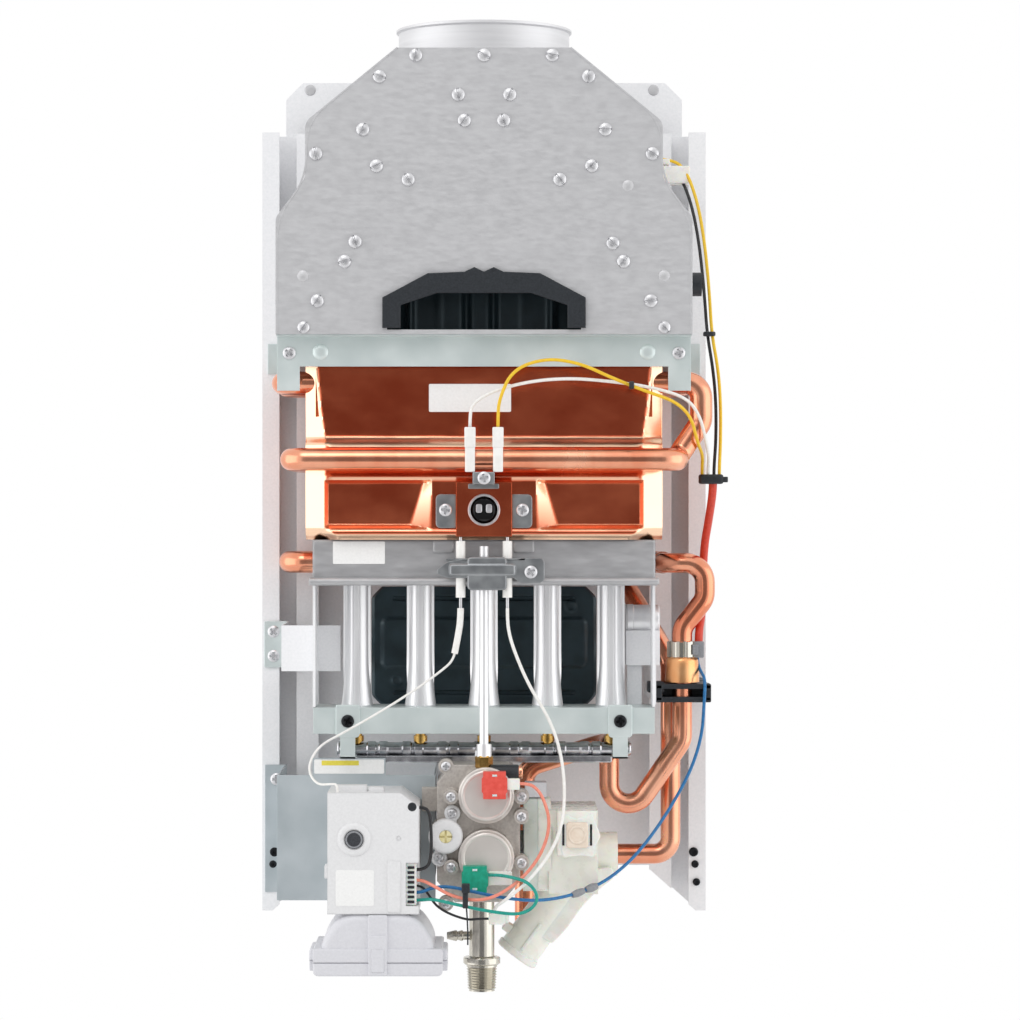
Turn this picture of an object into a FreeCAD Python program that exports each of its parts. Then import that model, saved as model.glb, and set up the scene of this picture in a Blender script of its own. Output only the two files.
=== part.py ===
import FreeCAD, Part

import math
import os
import re

import Sketcher
from FreeCAD import Placement, Rotation, Vector

# A wall-hung tankless gas water heater without its cover. Millimetres.
# X points right, Y points to the wall, Z points up. The origin lies midway between the two
# wall-screw holes, on the rear face. "Out" is the distance from the wall, so out = -Y.

SIZES = {
    # Back panel
    "panel_half": 140, "panel_top": 30, "panel_bottom": -523, "panel_gauge": 1.0, "panel_corner": 12,
    "wall_hole_half": 110, "wall_hole_r": 3.5,
    # Side rails
    "rail_outer": 155, "rail_depth": 30, "rail_lip": 12, "rail_inner": 130.5, "rail_step": 22,
    "rail_flange": 116, "rail_gauge": 1.0, "rail_top": -8, "rail_bottom": -552, "foot_rise": 29,
    # Draught hood
    "hood_half": 58, "hood_top": 33, "hood_neck": 118, "hood_shoulder": -16, "hood_waist": -53,
    "hood_hip": 137.5, "hood_flare": -79, "hood_bottom": -156, "hood_depth": 148, "hood_gauge": 0.8,
    "hood_round": 9,
    # Draught opening in the hood's front plate, and its trim
    "mouth_half": 64, "mouth_flat": 34, "mouth_side": -135, "mouth_top": -119, "trim_band": 12,
    "trim_gauge": 3, "trim_peak": 4, "trim_overlap": 3,
    # Flue collar
    "collar_r": 58, "collar_gauge": 1.0, "collar_rise": 21, "collar_out": 95, "collar_roll": 1.6,
    # Baffle behind the opening
    "baffle_half": 90, "baffle_from": 45, "baffle_to": 140, "baffle_z": -70, "baffle_gauge": 1.0,
    "bar_half": 5, "bar_pitch": 27, "bar_out": 120, "baffle_front": 60,
    # Spill sensor on the hood's right wall
    "spill_r": 8, "spill_thick": 9, "spill_out": 120, "spill_z": -120,
    # Cross rail
    "cross_in": 18, "cross_drop": 21, "cross_front": 160, "cross_gauge": 1.2, "cross_lip": 8,
    "cross_leg": 15, "cross_leg_drop": 37,
    # Exchanger shell
    "shell_half": 119, "shell_back": 42, "shell_front": 158, "shell_gauge": 1.0, "shell_drop": 135,
    "press_depth": 6, "press_slant": 10, "upper_press_top": -166, "upper_press_bottom": -224,
    "lower_press_top": -254, "lower_press_bottom": -286, "lower_press_in": 40, "shell_edge": 10,
    # Fins and water tubes
    "fin_top": -165, "fin_bottom": -210, "fin_gauge": 0.5, "fin_count": 30, "fin_half": 112,
    "fin_back": 46, "fin_front": 150.5,
    "tube_r": 7.5, "tube_wall": 1.0, "tube_z": -187, "tube_out": 58, "tube_pitch": 28,
    "wrap_out": 166.6, "wrap_z": -238.5, "wrap_low": -308, "wrap_near": 53.8, "wrap_rear": 32.2,
    "wrap_side": 127.8, "wrap_bend": 10.5, "wrap_drop_x": 145,
    # Sight plate and its tabs
    "sight_half": 18.5, "sight_top": -253.5, "sight_bottom": -289.5, "sight_proud": 5, "sight_z": -272,
    "sight_r": 9.3, "sight_gauge": 1.0, "tab_wide": 14, "tab_gauge": 1.2, "tab_half_tall": 12,
    # Burner frame
    "frame_half": 114, "frame_back": 62.5, "frame_front": 150, "frame_top": -291.8, "frame_tall": 30.2,
    "frame_gauge": 1.0, "frame_ledge": 12, "frame_lip": 4, "leg_from": 112, "leg_to": 140,
    # Burner bars and mixing tubes
    "burner_count": 5, "burner_pitch": 42.8, "bar_wide": 34, "bar_top": -301, "bar_wall": 0.8,
    "slot_count": 14, "slot_wide": 1.5, "slot_long": 24,
    "mixer_r": 8, "mixer_wall": 0.8, "mixer_mouth_r": 10.4, "mixer_flare": 22, "mixer_bottom": -404,
    "seam_wide": 1.2, "seam_proud": 1.5, "gas_out": 118,
    # Rear shield
    "shield_half": 77.5, "shield_fit": 3, "shield_bottom": -407, "shield_out": 62, "shield_gauge": 1.2,
    "shield_corner": 9, "shield_emboss": 3, "shield_field_half": 72, "shield_field_top": -346,
    "shield_field_bottom": -381,
    # Electrode bracket, electrodes and pilot
    "elec_half": 31, "elec_top": -304, "elec_tall": 21, "elec_gauge": 1.2, "elec_reach": 12, "elec_fit": 0.2,
    "rod_left": -15.5, "rod_right": 15.5, "rod_r": 3.2, "rod_top": -292.5, "rod_bottom": -330, "pin_r": 1.0,
    "pin_rise": 2.5, "pin_tail": 7, "pilot_x": 0, "pilot_r": 3.0, "pilot_top": -296,
    "pilot_bottom": -436,
    "nut_r": 5, "nut_tall": 9,
    # Manifold rail, tube and injectors
    "mrail_front": 141, "mrail_back": 95, "mrail_top": -404, "mrail_drop": 17.5, "mrail_gauge": 1.2,
    "mtube_half": 99, "mtube_r": 5, "mtube_bore": 3.6, "mtube_z": -433, "mplate_half": 8,
    "mplate_x": 91, "mplate_gauge": 1.2, "jet_r": 3.5, "jet_top": -409, "jet_hex": 4.6, "jet_hole": 5.5,
    "black_tab_from": 84, "black_tab_to": 112,
    # Burner brackets on the side rails
    "bracket_top": -350, "bracket_bottom": -381, "bracket_gauge": 1.0, "bracket_web": 136,
    "bracket_in": 97, "roller_r": 9.5, "roller_from": 96, "roller_to": 119, "roller_z": -346,
    "roller_out": 101.5, "prop_from": 97, "prop_to": 107, "prop_plate_top": -376,
    "prop_plate_bottom": -402,
    # Mounting plate
    "mount_left": -139, "mount_right": -32.5, "mount_top": -450, "mount_bottom": -534, "mount_out": 129,
    "mount_gauge": 1.2, "mount_flange": 14,
    # Gas valve
    "valve_left": -31.2, "valve_right": 24, "valve_top": -441, "valve_bottom": -532, "valve_back": 96,
    "valve_front": 158, "cap_x": 1.5, "cap_upper": -460.5, "cap_lower": -501.5, "cap_r": 18.6,
    "boss_front": 168, "cap_thick": 4, "coil_r": 13, "coil_floor": 132, "plunger_r": 5,
    "plunger_fit": 0.08, "plunger_long": 30, "plunger_travel": 2.5, "gas_bore": 6, "chamber_r": 10,
    "chamber_from": -22, "valve_neck_r": 7, "lug_reach": 9, "lug_thick": 8, "lug_tall": 16,
    "bolt_x": 23.3, "bolt_r": 5, "plug_x": -1, "plug_half": 7.6, "plug_tall": 16.5, "plug_thick": 8,
    # Gas adjuster
    "adjust_x": -25.3, "adjust_z": -487.6, "adjust_r": 11.3, "adjust_proud": 9, "spindle_r": 4.2,
    "spindle_fit": 0.06, "spindle_long": 14, "ear_r": 4, "ear_reach": 15.5, "slot_depth": 1.5,
    # Poppet, push rod and diaphragm
    "poppet_r": 8.4, "poppet_thick": 4, "poppet_face": -6, "spring_r": 5.5, "spring_wire": 0.9,
    "spring_seat": 0.15,
    "spring_turns": 4.5, "rod_axis_z": -497, "push_r": 2.5, "push_fit": 0.05, "push_travel": 3,
    "diaphragm_r": 26, "diaphragm_thick": 3,
    # Water valve
    "bell_r": 31.8, "bell_from": 26.5, "bell_mid": 36, "bell_to": 45, "bell_hollow": 27.5,
    "bell_wall": 3.5, "water_to": 76, "water_back": 74, "water_front": 146, "water_top": -472,
    "water_bottom": -528, "water_round": 8, "select_x": 61.5, "select_z": -485.5, "select_half": 13,
    "select_proud": 22, "knob_half": 7.5, "knob_r": 9, "knob_fit": 0.3, "knob_long": 14,
    "nozzle_out": 94, "nozzle_root": 22, "nozzle_way_r": 6,
    "nozzle_r": 14, "nozzle_long": 58, "nozzle_tilt": 36, "nozzle_x": 56, "nozzle_z": -528,
    "nozzle_bore": 9.32, "nozzle_depth": 15, "barrel_r": 15, "barrel_to": 91, "hot_x": 28,
    "hot_out": 62, "spigot_r": 10.48, "spigot_bottom": -574, "spigot_long": 14,
    # Water pipes
    "pipe_r": 6.8, "pipe_wall": 1.0, "cold_out": 85, "cold_x": 127.5, "cold_z": -507, "cold_bend": 11,
    "rise_x": 100, "rise_z": -326, "cold_side": 135, "hot_bend": 13, "hot_x2": 134.5, "hot_out2": 103,
    "swing_x": 150, "swing_out": 100, "loop_x": 85, "loop_bottom": -500, "loop_top": -432,
    "drop_z": -450, "hot_start": 22,
    # Pipe clamp
    "clamp_top": -388, "clamp_bottom": -402, "clamp_from": 115, "clamp_to": 153, "clamp_back": 72,
    "clamp_front": 114, "clamp_arm": 10, "clamp_fit": 0.3,
    # Thermostat on the hot pipe
    "clip_r": 10, "clip_top": -361, "clip_bottom": -372, "stat_x": 149, "stat_r": 5.5,
    # Gas inlet
    "inlet_x": -1.5, "inlet_r": 8.5, "inlet_bore": 6.5, "inlet_bottom": -596, "thread_r": 10.48,
    "thread_long": 18, "hex_r": 12.5, "hex_tall": 5, "nipple_z": -559, "nipple_r": 3.7,
    "nipple_to": -25, "nipple_bore": 2,
    # Control box
    "box_left": -102.5, "box_right": -42.5, "box_top": -457, "box_bottom": -536.5, "box_front": 190,
    "box_wall": 2, "box_round": 3, "box_ledge": 4, "button_x": -85, "button_z": -487.5, "button_r": 5.9,
    "button_fit": 0.2, "button_ring": 9.2, "button_travel": 3, "button_proud": 1, "button_long": 10,
    "board_out": 145, "board_gauge": 1.6, "socket_wide": 8.5, "socket_top": -503, "socket_bottom": -531,
    "box_tab_from": -98, "box_tab_to": -77, "box_tab_rise": 4,
    # Battery box
    "cell_r": 16.6, "cell_long": 61.5, "cell_pitch": 33.8, "battery_x": -69.5, "battery_half": 36,
    "battery_back": 121, "battery_front": 191, "battery_wall": 2, "battery_split": -568,
    "lid_half": 45.5, "lid_bottom": -577, "lid_wall": 2, "latch_half": 7, "latch_thick": 2,
    "contact_gauge": 1.2, "contact_half": 12, "battery_round": 14,
    # Screws
    "screw_r": 4, "screw_head": 2.2,
    # Leads
    "lead_r": 1.1, "thin_r": 0.8, "sleeve_r": 2.8, "splice_r": 2.2, "plug_clip_half": 8,
    "plug_clip_out": 182, "plug_clip_z": -247, "ceramic_x": 9.2, "ceramic_half": 3.6,
    "ceramic_top": -217.5, "ceramic_from": 174.5, "ceramic_to": 181.5,
}

doc = FreeCAD.newDocument("water_heater")
sheet = doc.addObject("Spreadsheet::Sheet", "Sizes")
for row, (alias, number) in enumerate(SIZES.items(), start=1):
    sheet.set(f"A{row}", alias.replace("_", " "))
    sheet.set(f"B{row}", str(number))
    sheet.setAlias(f"B{row}", alias)
doc.recompute()

nodes = []


def formula(text):
    """The expression with every size's alias read from the sheet."""
    return re.sub(r"[a-z][a-z0-9_]*", lambda m: f"Sizes.{m[0]}" if m[0] in SIZES else m[0], str(text))


def number(text):
    """The value of an expression in sizes, in mm."""
    return float(sheet.evalExpression(formula(text)))


def bind(thing, **cells):
    """Ties properties to expressions; x, out and z are the placement's base."""
    for name, text in cells.items():
        if name == "out":
            thing.setExpression("Placement.Base.y", formula(f"-({text})"))
        elif name in ("x", "z"):
            thing.setExpression(f"Placement.Base.{name}", formula(text))
        else:
            thing.setExpression(name, formula(text))
    return thing


def span(ends):
    return f"({ends[1]}) - ({ends[0]})"


def block(name, across, out, up):
    """A cuboid between two X values, two distances from the wall and two heights."""
    solid = doc.addObject("Part::Box", name)
    return bind(solid, Length=span(across), Width=span(out), Height=span(up),
                x=across[0], out=out[1], z=up[0])


TURNS = {"x": Rotation(Vector(0, 1, 0), 90), "out": Rotation(Vector(1, 0, 0), 90), "z": Rotation()}


def round_part(kind, name, x, out, z, **radii):
    """A cylinder or cone along the one of x, out and z that is given as a pair."""
    places = {"x": x, "out": out, "z": z}
    axis = next(key for key, place in places.items() if isinstance(place, tuple))
    solid = doc.addObject(kind, name)
    solid.Placement.Rotation = TURNS[axis]
    bind(solid, Height=span(places[axis]), **radii)
    starts = {key: place[0] if key == axis else place for key, place in places.items()}
    return bind(solid, **starts)


def rod(name, radius, x, out, z):
    return round_part("Part::Cylinder", name, x, out, z, Radius=radius)


def cone(name, first, last, x, out, z):
    return round_part("Part::Cone", name, x, out, z, Radius1=first, Radius2=last)


def fuse(name, *parts):
    whole = doc.addObject("Part::MultiFuse", name)
    whole.Shapes = list(parts)
    whole.Refine = True
    return whole


def cut(name, base, *tools):
    rest = doc.addObject("Part::Cut", name)
    rest.Base = base
    rest.Tool = tools[0] if len(tools) == 1 else group(f"{name}_tools", *tools)
    rest.Refine = True
    return rest


def group(name, *parts):
    """Separate solids kept side by side."""
    whole = doc.addObject("Part::Compound", name)
    whole.Links = list(parts)
    return whole


def sketch_on(body, role, name):
    sketch = body.newObject("Sketcher::SketchObject", name)
    plane = next(part for part in body.Origin.OriginFeatures if part.Role == role)
    sketch.AttachmentSupport = (plane, "")
    sketch.MapMode = "FlatFace"
    return sketch


def draw_polygon(sketch, corners):
    """A closed line through corners, each held at its own two expressions."""
    places = [Vector(number(a), number(b), 0) for a, b in corners]
    first = sketch.GeometryCount
    count = len(corners)
    for index in range(count):
        sketch.addGeometry(Part.LineSegment(places[index], places[(index + 1) % count]))
    for index in range(count):
        after = first + (index + 1) % count
        sketch.addConstraint(Sketcher.Constraint("Coincident", first + index, 2, after, 1))
    for index, corner in enumerate(corners):
        for kind, text in zip(("DistanceX", "DistanceY"), corner):
            rule = Sketcher.Constraint(kind, -1, 1, first + index, 1, number(text))
            at = sketch.addConstraint(rule)
            sketch.setExpression(f"Constraints[{at}]", formula(text))


def draw_circle(sketch, across, up, radius):
    centre = Vector(number(across), number(up), 0)
    at = sketch.addGeometry(Part.Circle(centre, Vector(0, 0, 1), number(radius)))
    rules = (("DistanceX", across), ("DistanceY", up))
    for kind, text in rules:
        rule = sketch.addConstraint(Sketcher.Constraint(kind, -1, 1, at, 3, number(text)))
        sketch.setExpression(f"Constraints[{rule}]", formula(text))
    rule = sketch.addConstraint(Sketcher.Constraint("Radius", at, number(radius)))
    sketch.setExpression(f"Constraints[{rule}]", formula(radius))


def plate(name, corners, out, holes=(), windows=(), rounded=(), radius=None):
    """A flat piece seen from the front: an outline in X and Z, from one distance out to another."""
    body = doc.addObject("PartDesign::Body", name)
    sketch = sketch_on(body, "XZ_Plane", f"{name}_outline")
    draw_polygon(sketch, corners)
    for window in windows:
        draw_polygon(sketch, window)
    for hole in holes:
        draw_circle(sketch, *hole)
    pad = body.newObject("PartDesign::Pad", f"{name}_pad")
    pad.Profile = sketch
    bind(pad, Length=span(out))
    bind(body, out=out[0])
    doc.recompute()
    if rounded:
        soften(body, pad, [(number(a), number(b)) for a, b in rounded], radius)
    return body


def soften(body, pad, places, radius):
    """Rounds the pad's edges that stand at the given corners of its outline."""
    names = []
    for index, edge in enumerate(pad.Shape.Edges, start=1):
        ends = [vertex.Point for vertex in edge.Vertexes]
        for across, up in places:
            near = [abs(p.x - across) < 0.01 and abs(p.z - up) < 0.01 for p in ends]
            if len(near) == 2 and all(near):
                names.append(f"Edge{index}")
    fillet = body.newObject("PartDesign::Fillet", f"{body.Name}_round")
    fillet.Base = (pad, names)
    bind(fillet, Radius=radius)
    doc.recompute()


def turned(name, profile, x, out, z, turn=None):
    """A solid of revolution: a profile in radius and height, about the Z axis or a turned one."""
    body = doc.addObject("PartDesign::Body", name)
    sketch = sketch_on(body, "XZ_Plane", f"{name}_profile")
    draw_polygon(sketch, profile)
    spin = body.newObject("PartDesign::Revolution", f"{name}_spin")
    spin.Profile = sketch
    spin.ReferenceAxis = (sketch, ["V_Axis"])
    spin.Angle = 360
    if turn:
        body.Placement.Rotation = TURNS[turn]
    bind(body, x=x, out=out, z=z)
    return body


def mirrored(points):
    """An outline from its right half, listed from the top to the bottom."""
    return [*points, *[(f"-({a})", b) for a, b in reversed(points)]]


def place(point):
    """A point given as X, distance out and Z, as a vector in the part's frame."""
    across, out, up = (number(value) for value in point)
    return Vector(across, -out, up)


def rounded_path(points, bends=None):
    """Straight runs joined by tangent arcs; an arc takes 0.45 of its shorter run unless given."""
    spots = [place(point) for point in points]
    edges = []
    radii = []
    start = spots[0]
    for index in range(1, len(spots) - 1):
        before, here, after = spots[index - 1:index + 2]
        back = before - here
        ahead = after - here
        half_turn = (math.pi - back.getAngle(ahead)) / 2
        if bends is None:
            radius = 0.45 * min(back.Length, ahead.Length) / math.tan(half_turn)
        else:
            radius = bends
        radii.append(radius)
        trim = radius * math.tan(half_turn)
        first = here + back.normalize() * trim
        last = here + ahead.normalize() * trim
        middle = (back + ahead).normalize()
        mid_point = here + middle * (radius / math.cos(half_turn) - radius)
        edges.append(Part.LineSegment(start, first).toShape())
        edges.append(Part.Arc(first, mid_point, last).toShape())
        start = last
    edges.append(Part.LineSegment(start, spots[-1]).toShape())
    return Part.Wire(edges), radii


def swept(path, radius):
    """A round bar along a path that starts with a straight run."""
    run = path.OrderedEdges[0]
    start = run.valueAt(run.FirstParameter)
    aim = run.tangentAt(run.FirstParameter)
    if (path.OrderedVertexes[0].Point - start).Length > 0.001:
        start = run.valueAt(run.LastParameter)
        aim = run.tangentAt(run.LastParameter) * -1
    ring = Part.Wire(Part.Circle(start, aim, radius).toShape())
    return path.makePipeShell([ring], True, False)


def pipe(points, radius, bends=None, wall=None):
    """A pipe's shape along a route; its volume is compared with section times length."""
    path, radii = rounded_path(points, bends)
    shape = swept(path, number(radius))
    expected = math.pi * number(radius) ** 2 * path.Length
    if abs(shape.Volume / expected - 1) > 0.01:
        raise ValueError(f"a pipe's volume is {shape.Volume / expected:.3f} of its section times length")
    if wall:
        shape = shape.cut(swept(path, number(f"{radius} - {wall}")))
    return shape, radii, path.Length


def shaped(name, shape):
    """A piece whose shape is worked out here from the sheet's values."""
    piece = doc.addObject("Part::Feature", name)
    piece.Shape = shape
    return piece


def node(label, piece):
    """Names a finished sub-part."""
    piece.Label = label
    nodes.append(piece)
    return piece


HOOD_BACK = "rail_step"
HOOD_FRONT = "(rail_step + hood_depth)"
SHELL_TOP = "hood_bottom"
SHELL_BOTTOM = "frame_top"
ELEC_BOTTOM = "(elec_top - elec_tall)"
PILOT_OUT = "(frame_front + frame_lip + elec_reach - elec_gauge - rod_r - elec_fit)"
CROSS_HALF = "(rail_outer - cross_in)"
FRAME_BOTTOM = "(frame_top - frame_tall)"
SHIELD_TOP = "(frame_top - frame_tall - shield_fit)"
BURNER_X = [f"burner_pitch * {index}" for index in (-2, -1, 0, 1, 2)]


# Chassis

def make_back_panel():
    corners = mirrored([("panel_half - panel_corner", "panel_top"),
                        ("panel_half", "panel_top - panel_corner"),
                        ("panel_half", "panel_bottom")])
    holes = [("wall_hole_half", 0, "wall_hole_r"), ("-wall_hole_half", 0, "wall_hole_r")]
    node("back_panel", plate("back_panel", corners, ("0", "panel_gauge"), holes))


def make_rail(side, label):
    """A channel with a front lip outside and a step to a flange inside, on the panel's edge."""
    height = ("rail_bottom", "rail_top")

    def across(near, far):
        ends = (f"{side} * ({near})", f"{side} * ({far})")
        return ends if side > 0 else ends[::-1]

    floor = block(f"{label}_floor", across("rail_inner", "rail_outer"),
                  ("panel_gauge", "panel_gauge + rail_gauge"), height)
    outer = block(f"{label}_outer", across("rail_outer - rail_gauge", "rail_outer"),
                  ("panel_gauge", "rail_depth"), height)
    lip = block(f"{label}_lip", across("rail_outer - rail_lip", "rail_outer"),
                ("rail_depth - rail_gauge", "rail_depth"), height)
    inner = block(f"{label}_inner", across("rail_inner", "rail_inner + rail_gauge"),
                  ("panel_gauge", "rail_step"), height)
    flange = block(f"{label}_flange", across("rail_flange", "rail_inner + rail_gauge"),
                   ("rail_step - rail_gauge", "rail_step"), height)
    whole = fuse(f"{label}_channel", floor, outer, lip, inner, flange)
    # The foot is cut off slantwise on its inner side.
    near, far = across("rail_flange - 1", "rail_outer - rail_lip / 2")
    low = far if side > 0 else near
    high = near if side > 0 else far
    foot = plate(f"{label}_slant", [(high, "rail_bottom - 1"), (low, "rail_bottom - 1"),
                                    (high, "rail_bottom + foot_rise")], ("0", "rail_depth + 1"))
    node(label, cut(f"{label}_cut", whole, foot))


# Draught hood and flue

def hood_outline(inset="0"):
    half = [("hood_half", "hood_top"), ("hood_neck", "hood_shoulder"), ("hood_neck", "hood_waist"),
            ("hood_hip", "hood_flare"), ("hood_hip", "hood_bottom")]
    lift = {"hood_top": f"hood_top - {inset}", "hood_bottom": f"hood_bottom + {inset}"}
    return mirrored([(f"{a} - {inset}", lift.get(b, b)) for a, b in half])


def hood_corners(inset="0"):
    return [corner for corner in hood_outline(inset)
            if corner[1] in ("hood_shoulder", "hood_waist", "hood_flare")]


def mouth_outline(grow="0"):
    """The draught opening: flat top, slanted shoulders, straight sides, open to the bottom line."""
    return mirrored([(f"mouth_flat + {grow}", f"mouth_top + {grow}"),
                     (f"mouth_half + {grow}", f"mouth_side + {grow}"),
                     (f"mouth_half + {grow}", "hood_bottom + trim_overlap")])


def make_hood():
    front = plate("hood_front", hood_outline(), (HOOD_FRONT, f"{HOOD_FRONT} + hood_gauge"),
                  windows=[mouth_outline()], rounded=hood_corners(), radius="hood_round")
    node("hood_front_plate", front)
    outer = plate("hood_outer", hood_outline(), (HOOD_BACK, HOOD_FRONT),
                  rounded=hood_corners(), radius="hood_round")
    inner = plate("hood_inner", hood_outline("hood_gauge"),
                  (f"{HOOD_BACK} + hood_gauge", f"{HOOD_FRONT} + 1"),
                  rounded=hood_corners("hood_gauge"), radius="hood_round - hood_gauge")
    flue_hole = rod("hood_flue_hole", "collar_r - collar_gauge", "0", "collar_out",
                    ("hood_top - 5", "hood_top + 1"))
    gas_hole = block("hood_gas_hole", ("-shell_half + shell_gauge", "shell_half - shell_gauge"),
                     ("shell_back + shell_gauge", "shell_front - shell_gauge"),
                     ("hood_bottom - 1", "hood_bottom + 2"))
    node("hood_shell", cut("hood_shell_cut", outer, inner, flue_hole, gas_hole))
    roll = "collar_r + collar_roll"
    profile = [("collar_r - collar_gauge", "0"), ("collar_r", "0"), ("collar_r", "collar_rise - 3"),
               (roll, "collar_rise - 2"), (roll, "collar_rise - 0.5"), ("collar_r", "collar_rise"),
               ("collar_r - collar_gauge", "collar_rise")]
    node("flue_collar", turned("flue_collar", profile, "0", "collar_out", "hood_top"))


def make_trim():
    """Black trim on the plate round the draught opening, with two low peaks on its top edge."""
    edge = "trim_overlap"
    outer = [("0", f"mouth_top + {edge} + 1"), ("trim_peak * 1.6", f"mouth_top + {edge} + trim_peak"),
             ("trim_peak * 3.2", f"mouth_top + {edge} + 1"), (f"mouth_flat + {edge}", f"mouth_top + {edge}"),
             (f"mouth_half + {edge}", f"mouth_side + {edge}"), (f"mouth_half + {edge}", "hood_bottom + 4")]
    inner = [(f"mouth_half - trim_band + {edge}", "hood_bottom + 4"),
             (f"mouth_half - trim_band + {edge}", "mouth_side - 2"),
             (f"mouth_flat - {edge}", "mouth_top - trim_band + 2"), ("0", "mouth_top - trim_band + 2")]
    half = outer + inner
    left = [(f"-({a})", b) for a, b in reversed(half[1:-1])]
    face = f"{HOOD_FRONT} + hood_gauge"
    trim = plate("trim_face", half + left, (face, f"{face} + trim_gauge"))
    node("opening_trim", trim)


def make_baffle():
    """A roof over the draught opening, hung from the hood's rear wall, with a grille of bars."""
    rear = f"{HOOD_BACK} + hood_gauge"
    roof = block("baffle_roof", ("-baffle_half", "baffle_half"), (rear, "baffle_to"),
                 ("baffle_z - baffle_gauge", "baffle_z"))
    back = block("baffle_back", ("-baffle_half", "baffle_half"), (rear, f"{rear} + baffle_gauge"),
                 ("baffle_z - baffle_gauge", "baffle_z + 20"))
    bars = []
    for index in (-2, -1, 0, 1, 2):
        centre = f"bar_pitch * {index}"
        bars.append(block(f"baffle_bar_{index + 3}", (f"{centre} - bar_half", f"{centre} + bar_half"),
                          ("bar_out", "bar_out + baffle_gauge"),
                          ("hood_bottom + hood_gauge + 8", "baffle_z")))
    foot = block("baffle_foot", ("-bar_pitch * 2 - bar_half", "bar_pitch * 2 + bar_half"),
                 ("bar_out", "bar_out + baffle_gauge"),
                 ("hood_bottom + hood_gauge + 4", "hood_bottom + hood_gauge + 12"))
    node("draught_baffle", fuse("baffle_whole", roof, back, foot, *bars))


def make_spill_sensor():
    node("spill_sensor", rod("spill_disc", "spill_r", ("hood_hip", "hood_hip + spill_thick"),
                             "spill_out", "spill_z"))


def make_cross_rail():
    """The rail under the hood: front strip, folded lip, two legs and two arms back to the rails."""
    top = "hood_bottom"
    front = "(cross_front + cross_gauge)"
    strip = block("cross_strip", (f"-{CROSS_HALF}", CROSS_HALF), ("cross_front", front),
                  (f"{top} - cross_drop", top))
    lip = block("cross_lip_fold", (f"-{CROSS_HALF}", CROSS_HALF), ("cross_front", f"{front} + cross_lip"),
                (f"{top} - cross_gauge", top))
    parts = [strip, lip]
    for side, name in ((-1, "left"), (1, "right")):
        outer = f"{side} * {CROSS_HALF}"
        leg_in = f"{side} * ({CROSS_HALF} - cross_leg)"
        arm_in = f"{side} * ({CROSS_HALF} - cross_gauge)"
        leg = (outer, leg_in) if side < 0 else (leg_in, outer)
        arm = (outer, arm_in) if side < 0 else (arm_in, outer)
        down = (f"{top} - cross_drop", top)
        parts.append(block(f"cross_leg_{name}", leg, ("cross_front", front),
                           (f"{top} - cross_leg_drop", top)))
        parts.append(block(f"cross_arm_{name}", arm, ("rail_depth", front), down))
        tab = (outer, f"{side} * (rail_outer - rail_lip + 8)")
        tab = tab if side > 0 else tab[::-1]
        parts.append(block(f"cross_tab_{name}", tab, ("rail_depth", "rail_depth + cross_gauge"), down))
    node("cross_rail", fuse("cross_whole", *parts))


# Heat exchanger

def pressed(name, across, up, grow):
    """A pressed panel with slanted sides: a truncated pyramid into the shell's front."""
    wedge = doc.addObject("Part::Wedge", name)
    left, right = across
    low, high = up
    bind(wedge, Xmin=f"{left} - {grow}", Xmax=f"{right} + {grow}", Zmin=f"{low} - {grow}",
         Zmax=f"{high} + {grow}", X2min=f"{left} + press_slant - {grow}",
         X2max=f"{right} - press_slant + {grow}", Z2min=f"{low} + press_slant / 2 - {grow}",
         Z2max=f"{high} - press_slant / 2 + {grow}", Ymin="-shell_front - 0.01",
         Ymax=f"-shell_front + press_depth + {grow}")
    return wedge


def make_shell():
    gauge = "shell_gauge"
    up = (SHELL_BOTTOM, SHELL_TOP)
    outer = block("shell_outer", ("-shell_half", "shell_half"), ("shell_back", "shell_front"), up)
    inside = block("shell_inside", (f"-shell_half + {gauge}", f"shell_half - {gauge}"),
                   (f"shell_back + {gauge}", f"shell_front - {gauge}"),
                   (f"{SHELL_BOTTOM} - 1", f"{SHELL_TOP} + 1"))
    panels = [
        (("-shell_half + shell_edge", "shell_half - shell_edge"), ("upper_press_bottom", "upper_press_top")),
        (("-shell_half + shell_edge", "-lower_press_in"), ("lower_press_bottom", "lower_press_top")),
        (("lower_press_in", "shell_half - shell_edge"), ("lower_press_bottom", "lower_press_top")),
    ]
    dents = [pressed(f"shell_dent_{i}", *panel, "0") for i, panel in enumerate(panels)]
    backs = [pressed(f"shell_press_{i}", *panel, gauge) for i, panel in enumerate(panels)]
    hollow = cut("shell_hollow", inside, *backs)
    ways = [rod(f"shell_way_{i}", "tube_r", ("-shell_half - 1", "shell_half + 1"),
                f"tube_out + tube_pitch * {i}", "tube_z") for i in range(4)]
    sight = rod("shell_sight", "sight_r", "0", ("shell_front - 3", "shell_front + 1"), "sight_z")
    node("exchanger_shell", cut("shell_cut", outer, hollow, *dents, *ways, sight))


def make_fins():
    """Thin plates across the water tubes, with one hole for each tube."""
    count = int(number("fin_count"))
    pitch = number("2 * fin_half - fin_gauge") / (count - 1)
    fin = Part.makeBox(number("fin_gauge"), number("fin_front - fin_back"), number("fin_top - fin_bottom"),
                       Vector(-number("fin_half"), -number("fin_front"), number("fin_bottom")))
    for index in range(4):
        centre = Vector(-number("fin_half") - 1, -number(f"tube_out + tube_pitch * {index}"),
                        number("tube_z"))
        fin = fin.cut(Part.makeCylinder(number("tube_r"), number("fin_gauge") + 2, centre, Vector(1, 0, 0)))
    fins = [fin.translated(Vector(pitch * index, 0, 0)) for index in range(count)]
    node("fin_pack", shaped("fin_pack", Part.makeCompound(fins)))


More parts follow.
